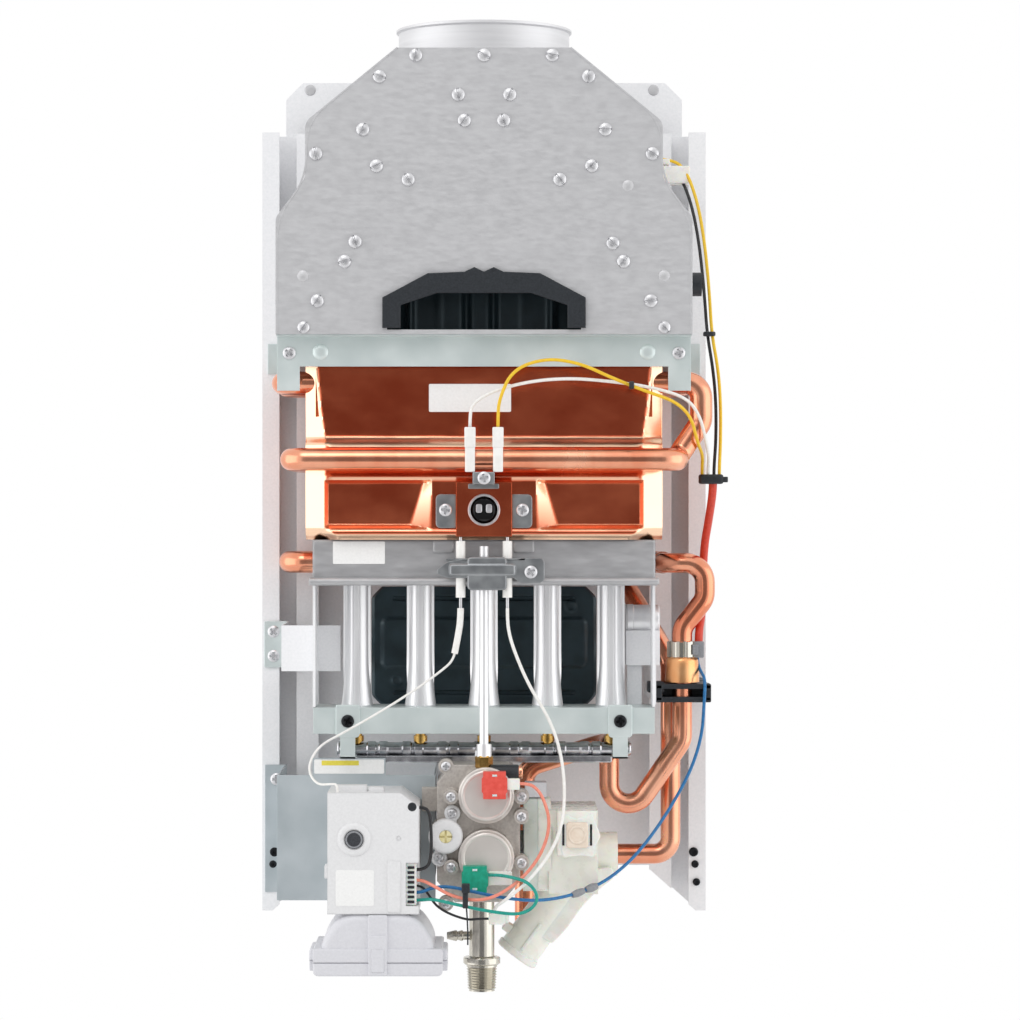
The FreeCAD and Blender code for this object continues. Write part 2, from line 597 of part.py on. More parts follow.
def make_water_coil():
    """One tube through the fins four times, with return bends outside the shell."""
    side = "shell_half + 2"
    turn = "shell_half + 2 + tube_pitch / 2"
    depths = [f"tube_out + tube_pitch * {index}" for index in range(4)]
    route = [(side, depths[0], "tube_z")]
    for index, depth in enumerate(depths[:-1]):
        sign = "-" if index % 2 == 0 else ""
        reach = f"{sign}({turn})"
        route += [(reach, depth, "tube_z"), (reach, depths[index + 1], "tube_z")]
    route.append((side, depths[3], "tube_z"))
    # Four passes end on the side they start from.
    shape, radii, length = pipe(route, "tube_r", number("tube_pitch") / 2 - 0.02, "tube_wall")
    print(f"water coil: {length:.0f} mm long")
    node("water_coil", shaped("water_coil", shape))


def make_wrap_tube():
    """From the coil's front end down round the combustion chamber to the hot pipe."""
    front_pass = "tube_out + tube_pitch * 3"
    hairpin = "-wrap_side - 7.2"
    end = "wrap_side - 5"
    route = [("shell_half + 2", front_pass, "tube_z"), ("wrap_drop_x", front_pass, "tube_z"),
             ("wrap_drop_x", front_pass, "tube_z - 26"), ("wrap_side", "wrap_out - 22", "wrap_z"),
             ("wrap_side", "wrap_out", "wrap_z"), ("-wrap_side", "wrap_out", "wrap_z"),
             ("-wrap_side", "wrap_rear", "wrap_z"), ("0", "wrap_rear", "wrap_z"),
             ("0", "wrap_rear", "wrap_low"), (hairpin, "wrap_rear", "wrap_low"),
             (hairpin, "wrap_near", "wrap_low"), (end, "wrap_near", "wrap_low"),
             (end, "wrap_near + hot_start", "wrap_low")]
    shape, radii, length = pipe(route, "tube_r", number("wrap_bend"), "tube_wall")
    print(f"wrap tube: {length:.0f} mm long")
    node("wrap_tube", shaped("wrap_tube", shape))


def make_sight():
    """A copper box with the sight hole, on the shell's front, held by two steel tabs."""
    front = "shell_front + sight_proud"
    outer = block("sight_outer", ("-sight_half", "sight_half"), ("shell_front", front),
                  ("sight_bottom", "sight_top"))
    inner = block("sight_inner", ("-sight_half + sight_gauge", "sight_half - sight_gauge"),
                  ("shell_front - 1", f"{front} - sight_gauge"),
                  ("sight_bottom + sight_gauge", "sight_top - sight_gauge"))
    hole = rod("sight_hole", "sight_r", "0", ("shell_front - 1", f"{front} + 1"), "sight_z")
    node("sight_plate", cut("sight_cut", outer, inner, hole))
    tabs = []
    for side, name in ((-1, "left"), (1, "right")):
        ends = (f"{side} * sight_half", f"{side} * (sight_half + tab_wide)")
        ends = ends if side > 0 else ends[::-1]
        tabs.append(block(f"sight_tab_{name}", ends, ("shell_front", "shell_front + tab_gauge"),
                          ("sight_z - tab_half_tall", "sight_z + tab_half_tall")))
    half = ("-plug_clip_half", "plug_clip_half - 1")
    shelf = block("clip_shelf", half, ("shell_front", "plug_clip_out"),
                  ("plug_clip_z - tab_gauge", "plug_clip_z"))
    drop = block("clip_drop", half, ("plug_clip_out - tab_gauge", "plug_clip_out"),
                 ("plug_clip_z - 8", "plug_clip_z"))
    node("sight_tabs", group("sight_tab_set", *tabs, fuse("connector_clip", shelf, drop)))


# Burner

def make_burner_frame():
    """A tray without floor that carries the bars on two ledges, with two legs down to the manifold rail."""
    gauge = "frame_gauge"
    up = (FRAME_BOTTOM, "frame_top")
    outer = block("frame_outer", ("-frame_half", "frame_half"), ("frame_back", "frame_front"), up)
    inner = block("frame_inner", (f"-frame_half + {gauge}", f"frame_half - {gauge}"),
                  (f"frame_back + {gauge}", f"frame_front - {gauge}"),
                  (f"{FRAME_BOTTOM} + {gauge}", "frame_top + 1"))
    floor = block("frame_floor", ("-frame_half + frame_ledge", "frame_half - frame_ledge"),
                  ("frame_back + frame_ledge", "frame_front - frame_ledge"),
                  (f"{FRAME_BOTTOM} - 1", f"{FRAME_BOTTOM} + {gauge} + 1"))
    tray = cut("frame_tray", outer, inner, floor)
    lip = block("frame_lip_fold", ("-frame_half", "frame_half"),
                ("frame_front - 1", "frame_front + frame_lip"),
                (FRAME_BOTTOM, f"{FRAME_BOTTOM} + {gauge}"))
    legs = []
    for side, name in ((-1, "left"), (1, "right")):
        ends = (f"{side} * (frame_half - {gauge})", f"{side} * frame_half")
        ends = ends if side > 0 else ends[::-1]
        legs.append(block(f"frame_leg_{name}", ends, ("leg_from", "leg_to"),
                          ("mrail_top", f"{FRAME_BOTTOM} + {gauge}")))
    node("burner_frame", fuse("frame_whole", tray, lip, *legs))


def make_burner_bars():
    """Five flame heads, each a hollow bar with slots in its top and a hole for its mixing tube."""
    floor = f"{FRAME_BOTTOM} + frame_gauge"
    bars = []
    count = int(number("slot_count"))
    for index, centre in enumerate(BURNER_X):
        across = (f"{centre} - bar_wide / 2", f"{centre} + bar_wide / 2")
        out = ("frame_back + frame_gauge + 1", "frame_front - frame_gauge - 1")
        outer = block(f"bar_outer_{index}", across, out, (floor, "bar_top"))
        inner = block(f"bar_inner_{index}", (f"{across[0]} + bar_wall", f"{across[1]} - bar_wall"),
                      (f"{out[0]} + bar_wall", f"{out[1]} - bar_wall"),
                      (f"{floor} + bar_wall", "bar_top - bar_wall"))
        hole = rod(f"bar_hole_{index}", "mixer_r - mixer_wall", centre, "gas_out",
                   (f"{floor} - 1", f"{floor} + bar_wall + 1"))
        slots = []
        for row in range(count):
            near = f"{out[0]} + 4 + ({span(out)} - 8 - slot_wide) * {row} / {count - 1}"
            slots.append(block(f"bar_slot_{index}_{row}",
                               (f"{centre} - slot_long / 2", f"{centre} + slot_long / 2"),
                               (near, f"{near} + slot_wide"), ("bar_top - bar_wall - 1", "bar_top + 1")))
        bars.append(cut(f"bar_{index}", outer, inner, hole, *slots))
    node("burner_bars", group("burner_bar_set", *bars))


def make_mixers():
    """Five mixing tubes with a bell mouth and a welded seam on each side."""
    top = f"{FRAME_BOTTOM} + frame_gauge"
    tubes = []
    rise = f"({top} - mixer_bottom)"
    for index, centre in enumerate(BURNER_X):
        profile = [("mixer_mouth_r - mixer_wall", "0"), ("mixer_mouth_r", "0"),
                   ("mixer_r + 0.6", "mixer_flare"), ("mixer_r", "mixer_flare + 12"), ("mixer_r", rise),
                   ("mixer_r - mixer_wall", rise), ("mixer_r - mixer_wall", "mixer_flare + 12"),
                   ("mixer_r - mixer_wall + 0.6", "mixer_flare")]
        bell = turned(f"mixer_{index}", profile, centre, "gas_out", "mixer_bottom")
        seams = []
        for side in (-1, 1):
            ends = (f"{centre} + {side} * (mixer_r - mixer_wall / 2)",
                    f"{centre} + {side} * (mixer_r + seam_proud)")
            ends = ends if side > 0 else ends[::-1]
            seams.append(block(f"seam_{index}_{side + 1}", ends,
                               ("gas_out - seam_wide / 2", "gas_out + seam_wide / 2"),
                               ("mixer_bottom + mixer_flare + 14", f"{top} - 2")))
        tubes.append(fuse(f"mixing_tube_{index}", bell, *seams))
    node("mixing_tubes", group("mixing_tube_set", *tubes))


def make_shield():
    """The dark plate behind the mixing tubes, with a raised field, on two arms from the panel."""
    corner = "shield_corner"
    corners = mirrored([("shield_half - " + corner, SHIELD_TOP), ("shield_half", f"{SHIELD_TOP} - {corner}"),
                        ("shield_half", "shield_bottom + " + corner),
                        ("shield_half - " + corner, "shield_bottom")])
    sheet_part = plate("shield_sheet", corners, ("shield_out", "shield_out + shield_gauge"))
    face = "shield_out + shield_gauge"
    field = block("shield_field", ("-shield_field_half", "shield_field_half"),
                  (face, f"{face} + shield_emboss"),
                  ("shield_field_bottom", "shield_field_top"))
    arms = []
    for side, name in ((-1, "left"), (1, "right")):
        ends = (f"{side} * (shield_half - 12)", f"{side} * (shield_half - 11)")
        ends = ends if side > 0 else ends[::-1]
        arms.append(block(f"shield_arm_{name}", ends, ("panel_gauge", "shield_out + 0.5"),
                          ("shield_bottom + 20", f"{SHIELD_TOP} - 20")))
    node("burner_shield", fuse("shield_whole", sheet_part, field, *arms))


def make_electrodes():
    """A bracket on the frame's front carries two ceramic insulators and the pilot tube's head."""
    face = "frame_front"
    far = f"({face} + frame_lip + elec_reach)"
    corners = [("-elec_half", f"{ELEC_BOTTOM} + 6"), ("-elec_half + 8", ELEC_BOTTOM),
               ("elec_half + 4", ELEC_BOTTOM), ("elec_half + 8", f"{ELEC_BOTTOM} + 6"),
               ("elec_half + 8", "elec_top - 4"), ("elec_half - 10", "elec_top"),
               ("-elec_half + 8", "elec_top"), ("-elec_half", "elec_top - 4")]
    front = plate("elec_face", corners, (f"{far} - elec_gauge", far))
    foot = block("elec_foot", ("-elec_half + 6", "elec_half - 4"), (face, far),
                 ("elec_top - elec_gauge", "elec_top"))
    holes = []
    seats = (("rod_left", "rod_r"), ("rod_right", "rod_r"), ("pilot_x", "pilot_r"))
    for index, (x, radius) in enumerate(seats):
        holes.append(rod(f"elec_hole_{index}", radius, x, PILOT_OUT, ("elec_top - 3", "elec_top + 1")))
    bracket = fuse("elec_sheet", front, foot)
    node("electrode_bracket", cut("elec_bracket_cut", bracket, *holes))
    rods = []
    pins = []
    for index, x in enumerate(("rod_left", "rod_right")):
        rods.append(rod(f"insulator_{index}", "rod_r", x, PILOT_OUT, ("rod_bottom", "rod_top")))
        pins.append(rod(f"electrode_{index}", "pin_r", x, PILOT_OUT, ("rod_top", "rod_top + pin_rise")))
        pins.append(rod(f"electrode_tail_{index}", "pin_r", x, PILOT_OUT,
                        ("rod_bottom - pin_tail", "rod_bottom")))
    node("electrode_insulators", group("insulator_pair", *rods))
    node("electrode_pins", group("electrode_pin_set", *pins))
    tube_part = rod("pilot_outer", "pilot_r", "pilot_x", PILOT_OUT, ("pilot_bottom", "pilot_top"))
    nut = rod("pilot_nut", "nut_r", "pilot_x", PILOT_OUT, ("pilot_bottom - 5", "pilot_bottom + nut_tall"))
    bore = rod("pilot_bore", "pilot_r - 0.8", "pilot_x", PILOT_OUT, ("pilot_bottom - 6", "pilot_top + 1"))
    node("pilot_tube", cut("pilot_cut", fuse("pilot_whole", tube_part, nut), bore))


def make_manifold():
    """The rail under the mixing tubes, the gas tube with its two end brackets, and five injectors."""
    gauge = "mrail_gauge"
    half = "frame_half"
    top = "mrail_top"
    roof = block("mrail_roof", (f"-{half}", half), ("mrail_back", "mrail_front"), (f"{top} - {gauge}", top))
    front = block("mrail_face", (f"-{half}", half), (f"mrail_front - {gauge}", "mrail_front"),
                  (f"{top} - mrail_drop", top))
    rear = block("mrail_rear", (f"-{half}", half), ("mrail_back", f"mrail_back + {gauge}"),
                 (f"{top} - mrail_drop", top))
    holes = [rod(f"mrail_hole_{i}", "jet_hole", x, "gas_out", (f"{top} - {gauge} - 1", f"{top} + 1"))
             for i, x in enumerate(BURNER_X)]
    node("manifold_rail", cut("mrail_cut", fuse("mrail_whole", roof, front, rear), *holes))
    tube_part = rod("mtube_outer", "mtube_r", ("-mtube_half", "mtube_half"), "gas_out", "mtube_z")
    neck = rod("mtube_neck", "valve_neck_r", "plug_x", "gas_out", ("valve_top", "mtube_z"))
    pieces = [tube_part, neck]
    for side, name in ((-1, "left"), (1, "right")):
        ends = (f"{side} * (mplate_x - mplate_half)", f"{side} * (mplate_x + mplate_half)")
        ends = ends if side > 0 else ends[::-1]
        pieces.append(block(f"mplate_{name}", ends, ("mrail_front", "mrail_front + mplate_gauge"),
                            ("mtube_z - mtube_r", "mrail_top + 2")))
        pieces.append(block(f"mplate_foot_{name}", ends, ("gas_out", "mrail_front + mplate_gauge"),
                            ("mtube_z - mtube_r", "mtube_z - mtube_r + mplate_gauge")))
    bore = rod("mtube_bore", "mtube_bore", ("-mtube_half + 3", "mtube_half - 3"), "gas_out", "mtube_z")
    neck_bore = rod("mtube_neck_bore", "mtube_bore", "plug_x", "gas_out", ("valve_top - 1", "mtube_z"))
    node("manifold_tube", cut("mtube_cut", fuse("mtube_whole", *pieces), bore, neck_bore))
    jets = []
    for index, x in enumerate(BURNER_X):
        stem = rod(f"jet_stem_{index}", "jet_r", x, "gas_out", ("mtube_z + 2", "jet_top"))
        hexagon = rod(f"jet_hex_{index}", "jet_hex", x, "gas_out",
                      ("mtube_z + mtube_r", "mtube_z + mtube_r + 4"))
        seat = rod(f"jet_seat_{index}", "mtube_r", (f"{x} - 8", f"{x} + 8"), "gas_out", "mtube_z")
        hole = rod(f"jet_bore_{index}", "0.7", x, "gas_out", ("mtube_z", "jet_top + 1"))
        jets.append(cut(f"jet_{index}", fuse(f"jet_body_{index}", stem, hexagon), seat, hole))
    node("injectors", group("injector_set", *jets))


def make_burner_brackets():
    """Left: a bracket from the rail's lip to the frame's leg. Right: a plate from the panel, with a prop."""
    label = "burner_bracket_left"
    up = ("bracket_bottom", "bracket_top")
    flange = block(f"{label}_flange", ("-rail_outer + 2", "-bracket_web"),
                   ("rail_depth", "rail_depth + bracket_gauge"), up)
    web = block(f"{label}_web", ("-bracket_web - bracket_gauge", "-bracket_web"),
                ("rail_depth", "leg_from"), up)
    face = block(f"{label}_face", ("-bracket_web - bracket_gauge", "-bracket_in"),
                 ("leg_from - bracket_gauge", "leg_from"), up)
    node(label, fuse(f"{label}_whole", flange, web, face))
    label = "burner_bracket_right"
    sheet_part = block(f"{label}_plate", ("frame_half", "frame_half + bracket_gauge"),
                       ("panel_gauge", "leg_to"), ("prop_plate_bottom", "prop_plate_top"))
    roller = rod(f"{label}_roller", "roller_r", ("roller_from", "roller_to"), "roller_out", "roller_z")
    lump = block(f"{label}_block", ("roller_from", "roller_to"), ("roller_out - 9", "roller_out + 9"),
                 ("prop_plate_top - 1", "roller_z - roller_r + 2"))
    leg = block(f"{label}_leg", ("prop_from", "prop_to"), ("roller_out - 1.5", "roller_out + 4.5"),
                ("mrail_top", "prop_plate_top"))
    node(label, fuse(f"{label}_whole", sheet_part, roller, lump, leg))


# Control box, battery box and their plate

def make_mounting_plate():
    gauge = "mount_gauge"
    up = ("mount_bottom", "mount_top")
    face = block("mount_face", ("mount_left", "mount_right"), (f"mount_out - {gauge}", "mount_out"), up)
    web = block("mount_web", ("mount_left", f"mount_left + {gauge}"), ("rail_depth", "mount_out"), up)
    flange = block("mount_flange", ("mount_left - mount_flange", f"mount_left + {gauge}"),
                   ("rail_depth", f"rail_depth + {gauge}"), ("mount_bottom - 5", "mount_top"))
    back = block("mount_back", (f"mount_right - {gauge}", "mount_right"), ("panel_gauge", "mount_out"),
                 ("panel_bottom + 5", "mount_top"))
    tab = block("mount_tab", ("mount_left + 24", "mount_left + 73"), (f"mount_out - {gauge}", "mount_out"),
                ("mount_top - 1", "mount_top + 11.5"))
    node("mounting_plate", fuse("mount_whole", face, web, flange, back, tab))


def make_control_box():
    """A moulded case on the plate, with a round hole for the button and a notch for the socket."""
    wall = "box_wall"
    corners = [("box_left", "box_top"), ("box_right - 12", "box_top"), ("box_right", "box_top - 9"),
               ("box_right", "box_bottom"), ("box_left", "box_bottom")]
    case = plate("box_case", corners, ("mount_out", "box_front"))
    hollow = block("box_hollow", (f"box_left + {wall}", f"box_right - {wall}"),
                   ("mount_out - 1", f"box_front - {wall}"),
                   (f"box_bottom + {wall}", f"box_top - {wall} - 9"))
    button_way = rod("box_button_way", "button_r + button_fit", "button_x",
                     ("box_front - 6", "box_front + 2"),
                     "button_z")
    notch = block("box_notch", ("box_right - socket_wide", "box_right + 1"),
                  ("box_front - 14", "box_front + 1"),
                  ("socket_bottom", "socket_top"))
    tab = block("box_tab", ("box_tab_from", "box_tab_to"), ("box_front - 22", "box_front - 14"),
                ("box_top - 1", "box_top + box_tab_rise"))
    ring = rod("box_ring", "button_ring", "button_x", ("box_front - 1", "box_front + 1"), "button_z")
    ledges = [block(f"box_ledge_{i}", ends, ("mount_out", "board_out"),
                    (f"box_bottom + {wall}", "box_top - 14"))
              for i, ends in enumerate(((f"box_left + {wall} - 0.5", f"box_left + {wall} + box_ledge"),
                                        (f"box_right - {wall} - box_ledge", f"box_right - {wall} + 0.5")))]
    shell = cut("box_shell", case, hollow)
    whole = fuse("box_whole", shell, tab, ring, *ledges)
    node("control_box", cut("box_cut", whole, button_way, notch))
    board = block("board_plate", (f"box_left + {wall} + 0.3", f"box_right - {wall} - 0.3"),
                  ("board_out", "board_out + board_gauge"), (f"box_bottom + {wall} + 1", "box_top - 14"))
    socket = block("board_socket", ("box_right - socket_wide + 0.3", f"box_right - {wall} - 0.3"),
                   ("board_out + 1", "box_front - 3"), ("socket_bottom + 1", "socket_top - 1"))
    chip = block("board_chip", ("box_left + 12", "box_left + 34"), ("board_out + 1", "board_out + 12"),
                 ("box_bottom + 14", "box_bottom + 34"))
    stem = rod("board_switch", "4", "button_x",
               ("board_out + 1", "box_front - button_long - button_travel - 1"),
               "button_z")
    node("circuit_board", fuse("board_whole", board, socket, chip, stem))
    cap = rod("button_cap", "button_r", "button_x", ("box_front - 6", "box_front + 1 + button_proud"),
              "button_z")
    collar = rod("button_collar", "button_r + 1.8", "button_x",
                 ("box_front - button_long", f"box_front - {wall} - 0.3"), "button_z")
    node("start_button", fuse("button_whole", cap, collar))


def make_battery_box():
    wall = "battery_wall"
    left = "battery_x - battery_half"
    right = "battery_x + battery_half"
    dome = plate("battery_dome", [(left, "box_bottom"), (right, "box_bottom"), (right, "battery_split"),
                                  (left, "battery_split")], ("battery_back", "battery_front"),
                 rounded=[(left, "box_bottom"), (right, "box_bottom")], radius="battery_round")
    hollow = plate("battery_hollow", [(f"{left} + {wall}", f"box_bottom - {wall}"),
                                      (f"{right} - {wall}", f"box_bottom - {wall}"),
                                      (f"{right} - {wall}", "battery_split - 1"),
                                      (f"{left} + {wall}", "battery_split - 1")],
                   (f"battery_back + {wall}", f"battery_front - {wall}"),
                   rounded=[(f"{left} + {wall}", f"box_bottom - {wall}"),
                            (f"{right} - {wall}", f"box_bottom - {wall}")], radius=f"battery_round - {wall}")
    flange = block("battery_flange", ("battery_x - lid_half", "battery_x + lid_half"),
                   ("battery_back", "battery_front"), ("battery_split", f"battery_split + {wall}"))
    opening = block("battery_opening", (f"{left} + {wall}", f"{right} - {wall}"),
                    (f"battery_back + {wall}", f"battery_front - {wall}"),
                    ("battery_split - 1", f"battery_split + {wall} + 1"))
    whole = fuse("battery_body", dome, flange)
    node("battery_housing", cut("battery_cut", whole, hollow, opening))
    floor = ("lid_bottom", "battery_split")
    tray = block("lid_tray", ("battery_x - lid_half", "battery_x + lid_half"),
                 ("battery_back", "battery_front"), floor)
    dish = block("lid_dish", (f"{left} + {wall}", f"{right} - {wall}"),
                 (f"battery_back + {wall}", f"battery_front - {wall}"),
                 ("lid_bottom + lid_wall", "battery_split + 1"))
    latch = block("lid_latch", ("battery_x - latch_half", "battery_x + latch_half"),
                  ("battery_front", "battery_front + latch_thick"), ("lid_bottom", "battery_split + 18"))
    node("battery_lid", fuse("lid_whole", cut("lid_cut", tray, dish), latch))
    cells = []
    contacts = []
    middle = "(battery_back + battery_front) / 2"
    low = "lid_bottom + lid_wall + 0.3 + cell_r"
    for index, side in enumerate((-1, 1)):
        centre = f"battery_x + {side} * cell_pitch / 2"
        can = rod(f"cell_{index}", "cell_r", centre,
                  (f"{middle} - cell_long / 2", f"{middle} + cell_long / 2 - 1.5"),
                  low)
        pip = rod(f"cell_pip_{index}", "4.5", centre,
                  (f"{middle} + cell_long / 2 - 2", f"{middle} + cell_long / 2"),
                  low)
        cells.append(fuse(f"cell_whole_{index}", can, pip))
        across = (f"{centre} - contact_half", f"{centre} + contact_half")
        contacts.append(block(f"contact_front_{index}", across,
                              (f"{middle} + cell_long / 2", f"battery_front - {wall}"),
                              ("battery_split + 2", "battery_split + 20")))
        contacts.append(block(f"contact_rear_{index}", across,
                              (f"battery_back + {wall}", f"{middle} - cell_long / 2"),
                              ("battery_split + 2", "battery_split + 20")))
    node("batteries", group("battery_pair", *cells))
    node("battery_contacts", group("contact_set", *contacts))


# Gas valve

VALVE_BOLTS = [(-1, -461.5), (1, -461.5), (1, -474.5), (-1, -508), (1, -505)]


def make_gas_valve():
    """A cast body with two solenoid chambers, a gas way from bottom to top and a poppet chamber."""
    main = plate("valve_main", [("valve_left + 10", "valve_top"), ("valve_right - 8", "valve_top"),
                                ("valve_right", "valve_top - 8"), ("valve_right", "valve_bottom + 14"),
                                ("valve_right - 12", "valve_bottom"), ("valve_left + 12", "valve_bottom"),
                                ("valve_left", "valve_bottom + 14"), ("valve_left", "valve_top - 12")],
                 ("valve_back", "valve_front"))
    pieces = [main]
    caps = ("cap_upper", "cap_lower")
    for index, z in enumerate(caps):
        pieces.append(rod(f"valve_boss_{index}", "cap_r", "cap_x", ("valve_front - 5", "boss_front"), z))
    for index, (side, z) in enumerate(VALVE_BOLTS):
        pieces.append(rod(f"valve_bolt_boss_{index}", "bolt_r", f"cap_x + {side} * bolt_x",
                          ("valve_front - 5", "boss_front"), str(z)))
    for index, z in enumerate(("valve_top - 1", "valve_bottom - 1")):
        pieces.append(rod(f"valve_ear_{index}", "bolt_r", "valve_left + 6",
                          ("valve_front - 8", "valve_front"), z))
    pieces.append(rod("adjust_boss", "adjust_r - 0.5", "adjust_x", ("mount_out", "valve_front + 2"),
                      "adjust_z"))
    pieces.append(block("valve_lug", ("mount_right - lug_reach", "valve_left + 1"),
                        ("mount_out", "mount_out + lug_thick"),
                        ("adjust_z + 14", "adjust_z + 14 + lug_tall")))
    tools = []
    for index, z in enumerate(caps):
        tools.append(rod(f"valve_coil_way_{index}", "coil_r", "cap_x", ("coil_floor", "boss_front + 1"), z))
    tools.append(rod("valve_gas_way", "gas_bore", "inlet_x", "gas_out",
                     ("valve_bottom - 1", "valve_top + 1")))
    tools.append(rod("valve_chamber", "chamber_r", ("chamber_from", "valve_right - 6"), "gas_out",
                     "rod_axis_z"))
    tools.append(rod("valve_rod_way", "push_r + push_fit", ("0", "valve_right + 1"), "gas_out", "rod_axis_z"))
    tools.append(rod("valve_spindle_way", "spindle_r + spindle_fit", "adjust_x",
                     ("valve_front + 2 - spindle_long + adjust_proud", "valve_front + 3"), "adjust_z"))
    tools.append(rod("valve_pilot_way", "pilot_r - 0.8", "pilot_x", f"{PILOT_OUT} - 8",
                     ("valve_top - 12", "valve_top + 1")))
    node("gas_valve_body", cut("valve_cut", fuse("valve_whole", *pieces), *tools))
    covers = [rod(f"valve_cover_{i}", "cap_r", "cap_x", ("boss_front", "boss_front + cap_thick"), z)
              for i, z in enumerate(caps)]
    node("gas_valve_covers", group("valve_cover_pair", *covers))
    coils = []
    for index, (z, label) in enumerate(zip(caps, ("pilot_plunger", "main_plunger"))):
        wound = rod(f"coil_{index}", "coil_r", "cap_x", ("coil_floor", "boss_front"), z)
        way = rod(f"coil_way_{index}", "plunger_r + plunger_fit", "cap_x",
                  ("coil_floor - 1", "boss_front + 1"), z)
        coils.append(cut(f"coil_cut_{index}", wound, way))
        node(label, rod(f"plunger_{index}", "plunger_r", "cap_x",
                        ("coil_floor", "coil_floor + plunger_long"), z))
    node("solenoid_coils", group("coil_pair", *coils))
    plugs = []
    for index, (z, x) in enumerate((("cap_upper + 14", "plug_x + 16"), ("cap_lower - 17", "plug_x - 5"))):
        face = "boss_front + cap_thick"
        plugs.append(block(f"plug_{index}", (f"{x} - plug_half", f"{x} + plug_half"),
                           (face, f"{face} + plug_thick"), (f"{z} - plug_tall / 2", f"{z} + plug_tall / 2")))
    node("valve_connectors", group("plug_pair", *plugs))


def make_adjuster():
    """A white disc with two ears on the valve's left, and the slotted spindle that turns in it."""
    face = "valve_front + 2"
    front = f"{face} + adjust_proud"
    disc = rod("adjust_disc", "adjust_r", "adjust_x", (face, front), "adjust_z")
    pieces = [disc]
    for index, (lean, rise) in enumerate(((0.28, 0.96), (-0.28, -0.96))):
        pieces.append(rod(f"adjust_ear_{index}", "ear_r", f"adjust_x + ear_reach * {lean}",
                          (face, f"{face} + 3"),
                          f"adjust_z + ear_reach * {rise}"))
    way = rod("adjust_way", "spindle_r + spindle_fit", "adjust_x", (f"{face} - 1", f"{front} + 1"),
              "adjust_z")
    node("adjuster_housing", cut("adjust_cut", fuse("adjust_whole", *pieces), way))
    stem = rod("spindle_stem", "spindle_r", "adjust_x", (f"{front} + 0.5 - spindle_long", f"{front} + 0.5"),
               "adjust_z")
    slots = [block("spindle_slot_0", ("adjust_x - spindle_r - 1", "adjust_x + spindle_r + 1"),
                   (f"{front} + 0.5 - slot_depth", f"{front} + 1"), ("adjust_z - 0.6", "adjust_z + 0.6")),
             block("spindle_slot_1", ("adjust_x - 0.6", "adjust_x + 0.6"),
                   (f"{front} + 0.5 - slot_depth", f"{front} + 1"),
                   ("adjust_z - spindle_r - 1", "adjust_z + spindle_r + 1"))]
    node("adjuster_spindle", cut("spindle_cut", stem, *slots))


def arc_towards(start, corner, end):
    """The round arc that leaves start towards the corner and comes to end from it."""
    middle = (start + end) / 2
    weight = (start - middle).Length / (start - corner).Length
    return Part.Arc(start, (middle + corner * weight) / (1 + weight), end).toShape()


def biarc(start, leave, end, arrive):
    """Two arcs that meet with one direction, between two points with given unit directions."""
    across = end - start
    both = leave + arrive
    spare = 4 - both.dot(both)
    reach = across.dot(both)
    length = (math.sqrt(reach ** 2 + spare * across.dot(across)) - reach) / spare
    first = start + leave * length
    last = end - arrive * length
    joint = (first + last) / 2
    return [arc_towards(start, first, joint), arc_towards(joint, last, end)]


def spring_shape():
    """An open coil along X, swept along biarcs of half a turn from the chamber's end to the poppet."""
    turns = number("spring_turns")
    radius = number("spring_r")
    start_x = number("chamber_from + spring_wire / 2 + spring_seat")
    end_x = number("poppet_face - poppet_thick - spring_wire / 2 - spring_seat")
    steps = round(turns * 2)
    points = []
    ways = []
    for index in range(steps + 1):
        angle = math.pi * index
        along = start_x + (end_x - start_x) * index / steps
        points.append(Vector(along, radius * math.cos(angle) - number("gas_out"),
                             radius * math.sin(angle) + number("rod_axis_z")))
        rise = (end_x - start_x) / (2 * math.pi * turns)
        way = Vector(rise, -radius * math.sin(angle), radius * math.cos(angle))
        ways.append(way.normalize())
    edges = []
    for index in range(steps):
        edges += biarc(points[index], ways[index], points[index + 1], ways[index + 1])
    ring = Part.Wire(Part.Circle(points[0], ways[0], number("spring_wire / 2")).toShape())
    return Part.Wire(edges).makePipeShell([ring], True, False)


def make_poppet():
    """The gas poppet on its spring, and the push rod with its diaphragm that opens it."""
    disc = rod("poppet_disc", "poppet_r", ("poppet_face - poppet_thick", "poppet_face"), "gas_out",
               "rod_axis_z")
    node("gas_poppet", disc)
    node("poppet_spring", shaped("spring_coil", spring_shape()))
    stem = rod("push_stem", "push_r", ("poppet_face", "bell_mid - diaphragm_thick / 2"), "gas_out",
               "rod_axis_z")
    disc = rod("push_disc", "diaphragm_r",
               ("bell_mid - diaphragm_thick / 2", "bell_mid + diaphragm_thick / 2"),
               "gas_out", "rod_axis_z")
    node("push_rod", fuse("push_whole", stem, disc))


def make_gas_inlet():
    """Nickel-plated pipe into the valve's foot, with collar, male thread and a test nipple."""
    bottom = "inlet_bottom"
    tube_part = rod("inlet_tube", "inlet_r", "inlet_x", "gas_out", (bottom, "valve_bottom"))
    thread = rod("inlet_thread", "thread_r", "inlet_x", "gas_out", (bottom, f"{bottom} + thread_long"))
    collar = rod("inlet_collar", "hex_r", "inlet_x", "gas_out",
                 (f"{bottom} + thread_long", f"{bottom} + thread_long + hex_tall"))
    nipple = rod("inlet_nipple", "nipple_r", ("nipple_to", "inlet_x"), "gas_out", "nipple_z")
    whole = fuse("inlet_whole", tube_part, thread, collar, nipple)
    bore = rod("inlet_way", "inlet_bore", "inlet_x", "gas_out", (f"{bottom} - 1", "valve_bottom + 1"))
    nipple_way = rod("inlet_nipple_way", "nipple_bore", ("nipple_to - 1", "inlet_x"), "gas_out", "nipple_z")
    node("gas_inlet_pipe", cut("inlet_cut", whole, bore, nipple_way))


# Water valve

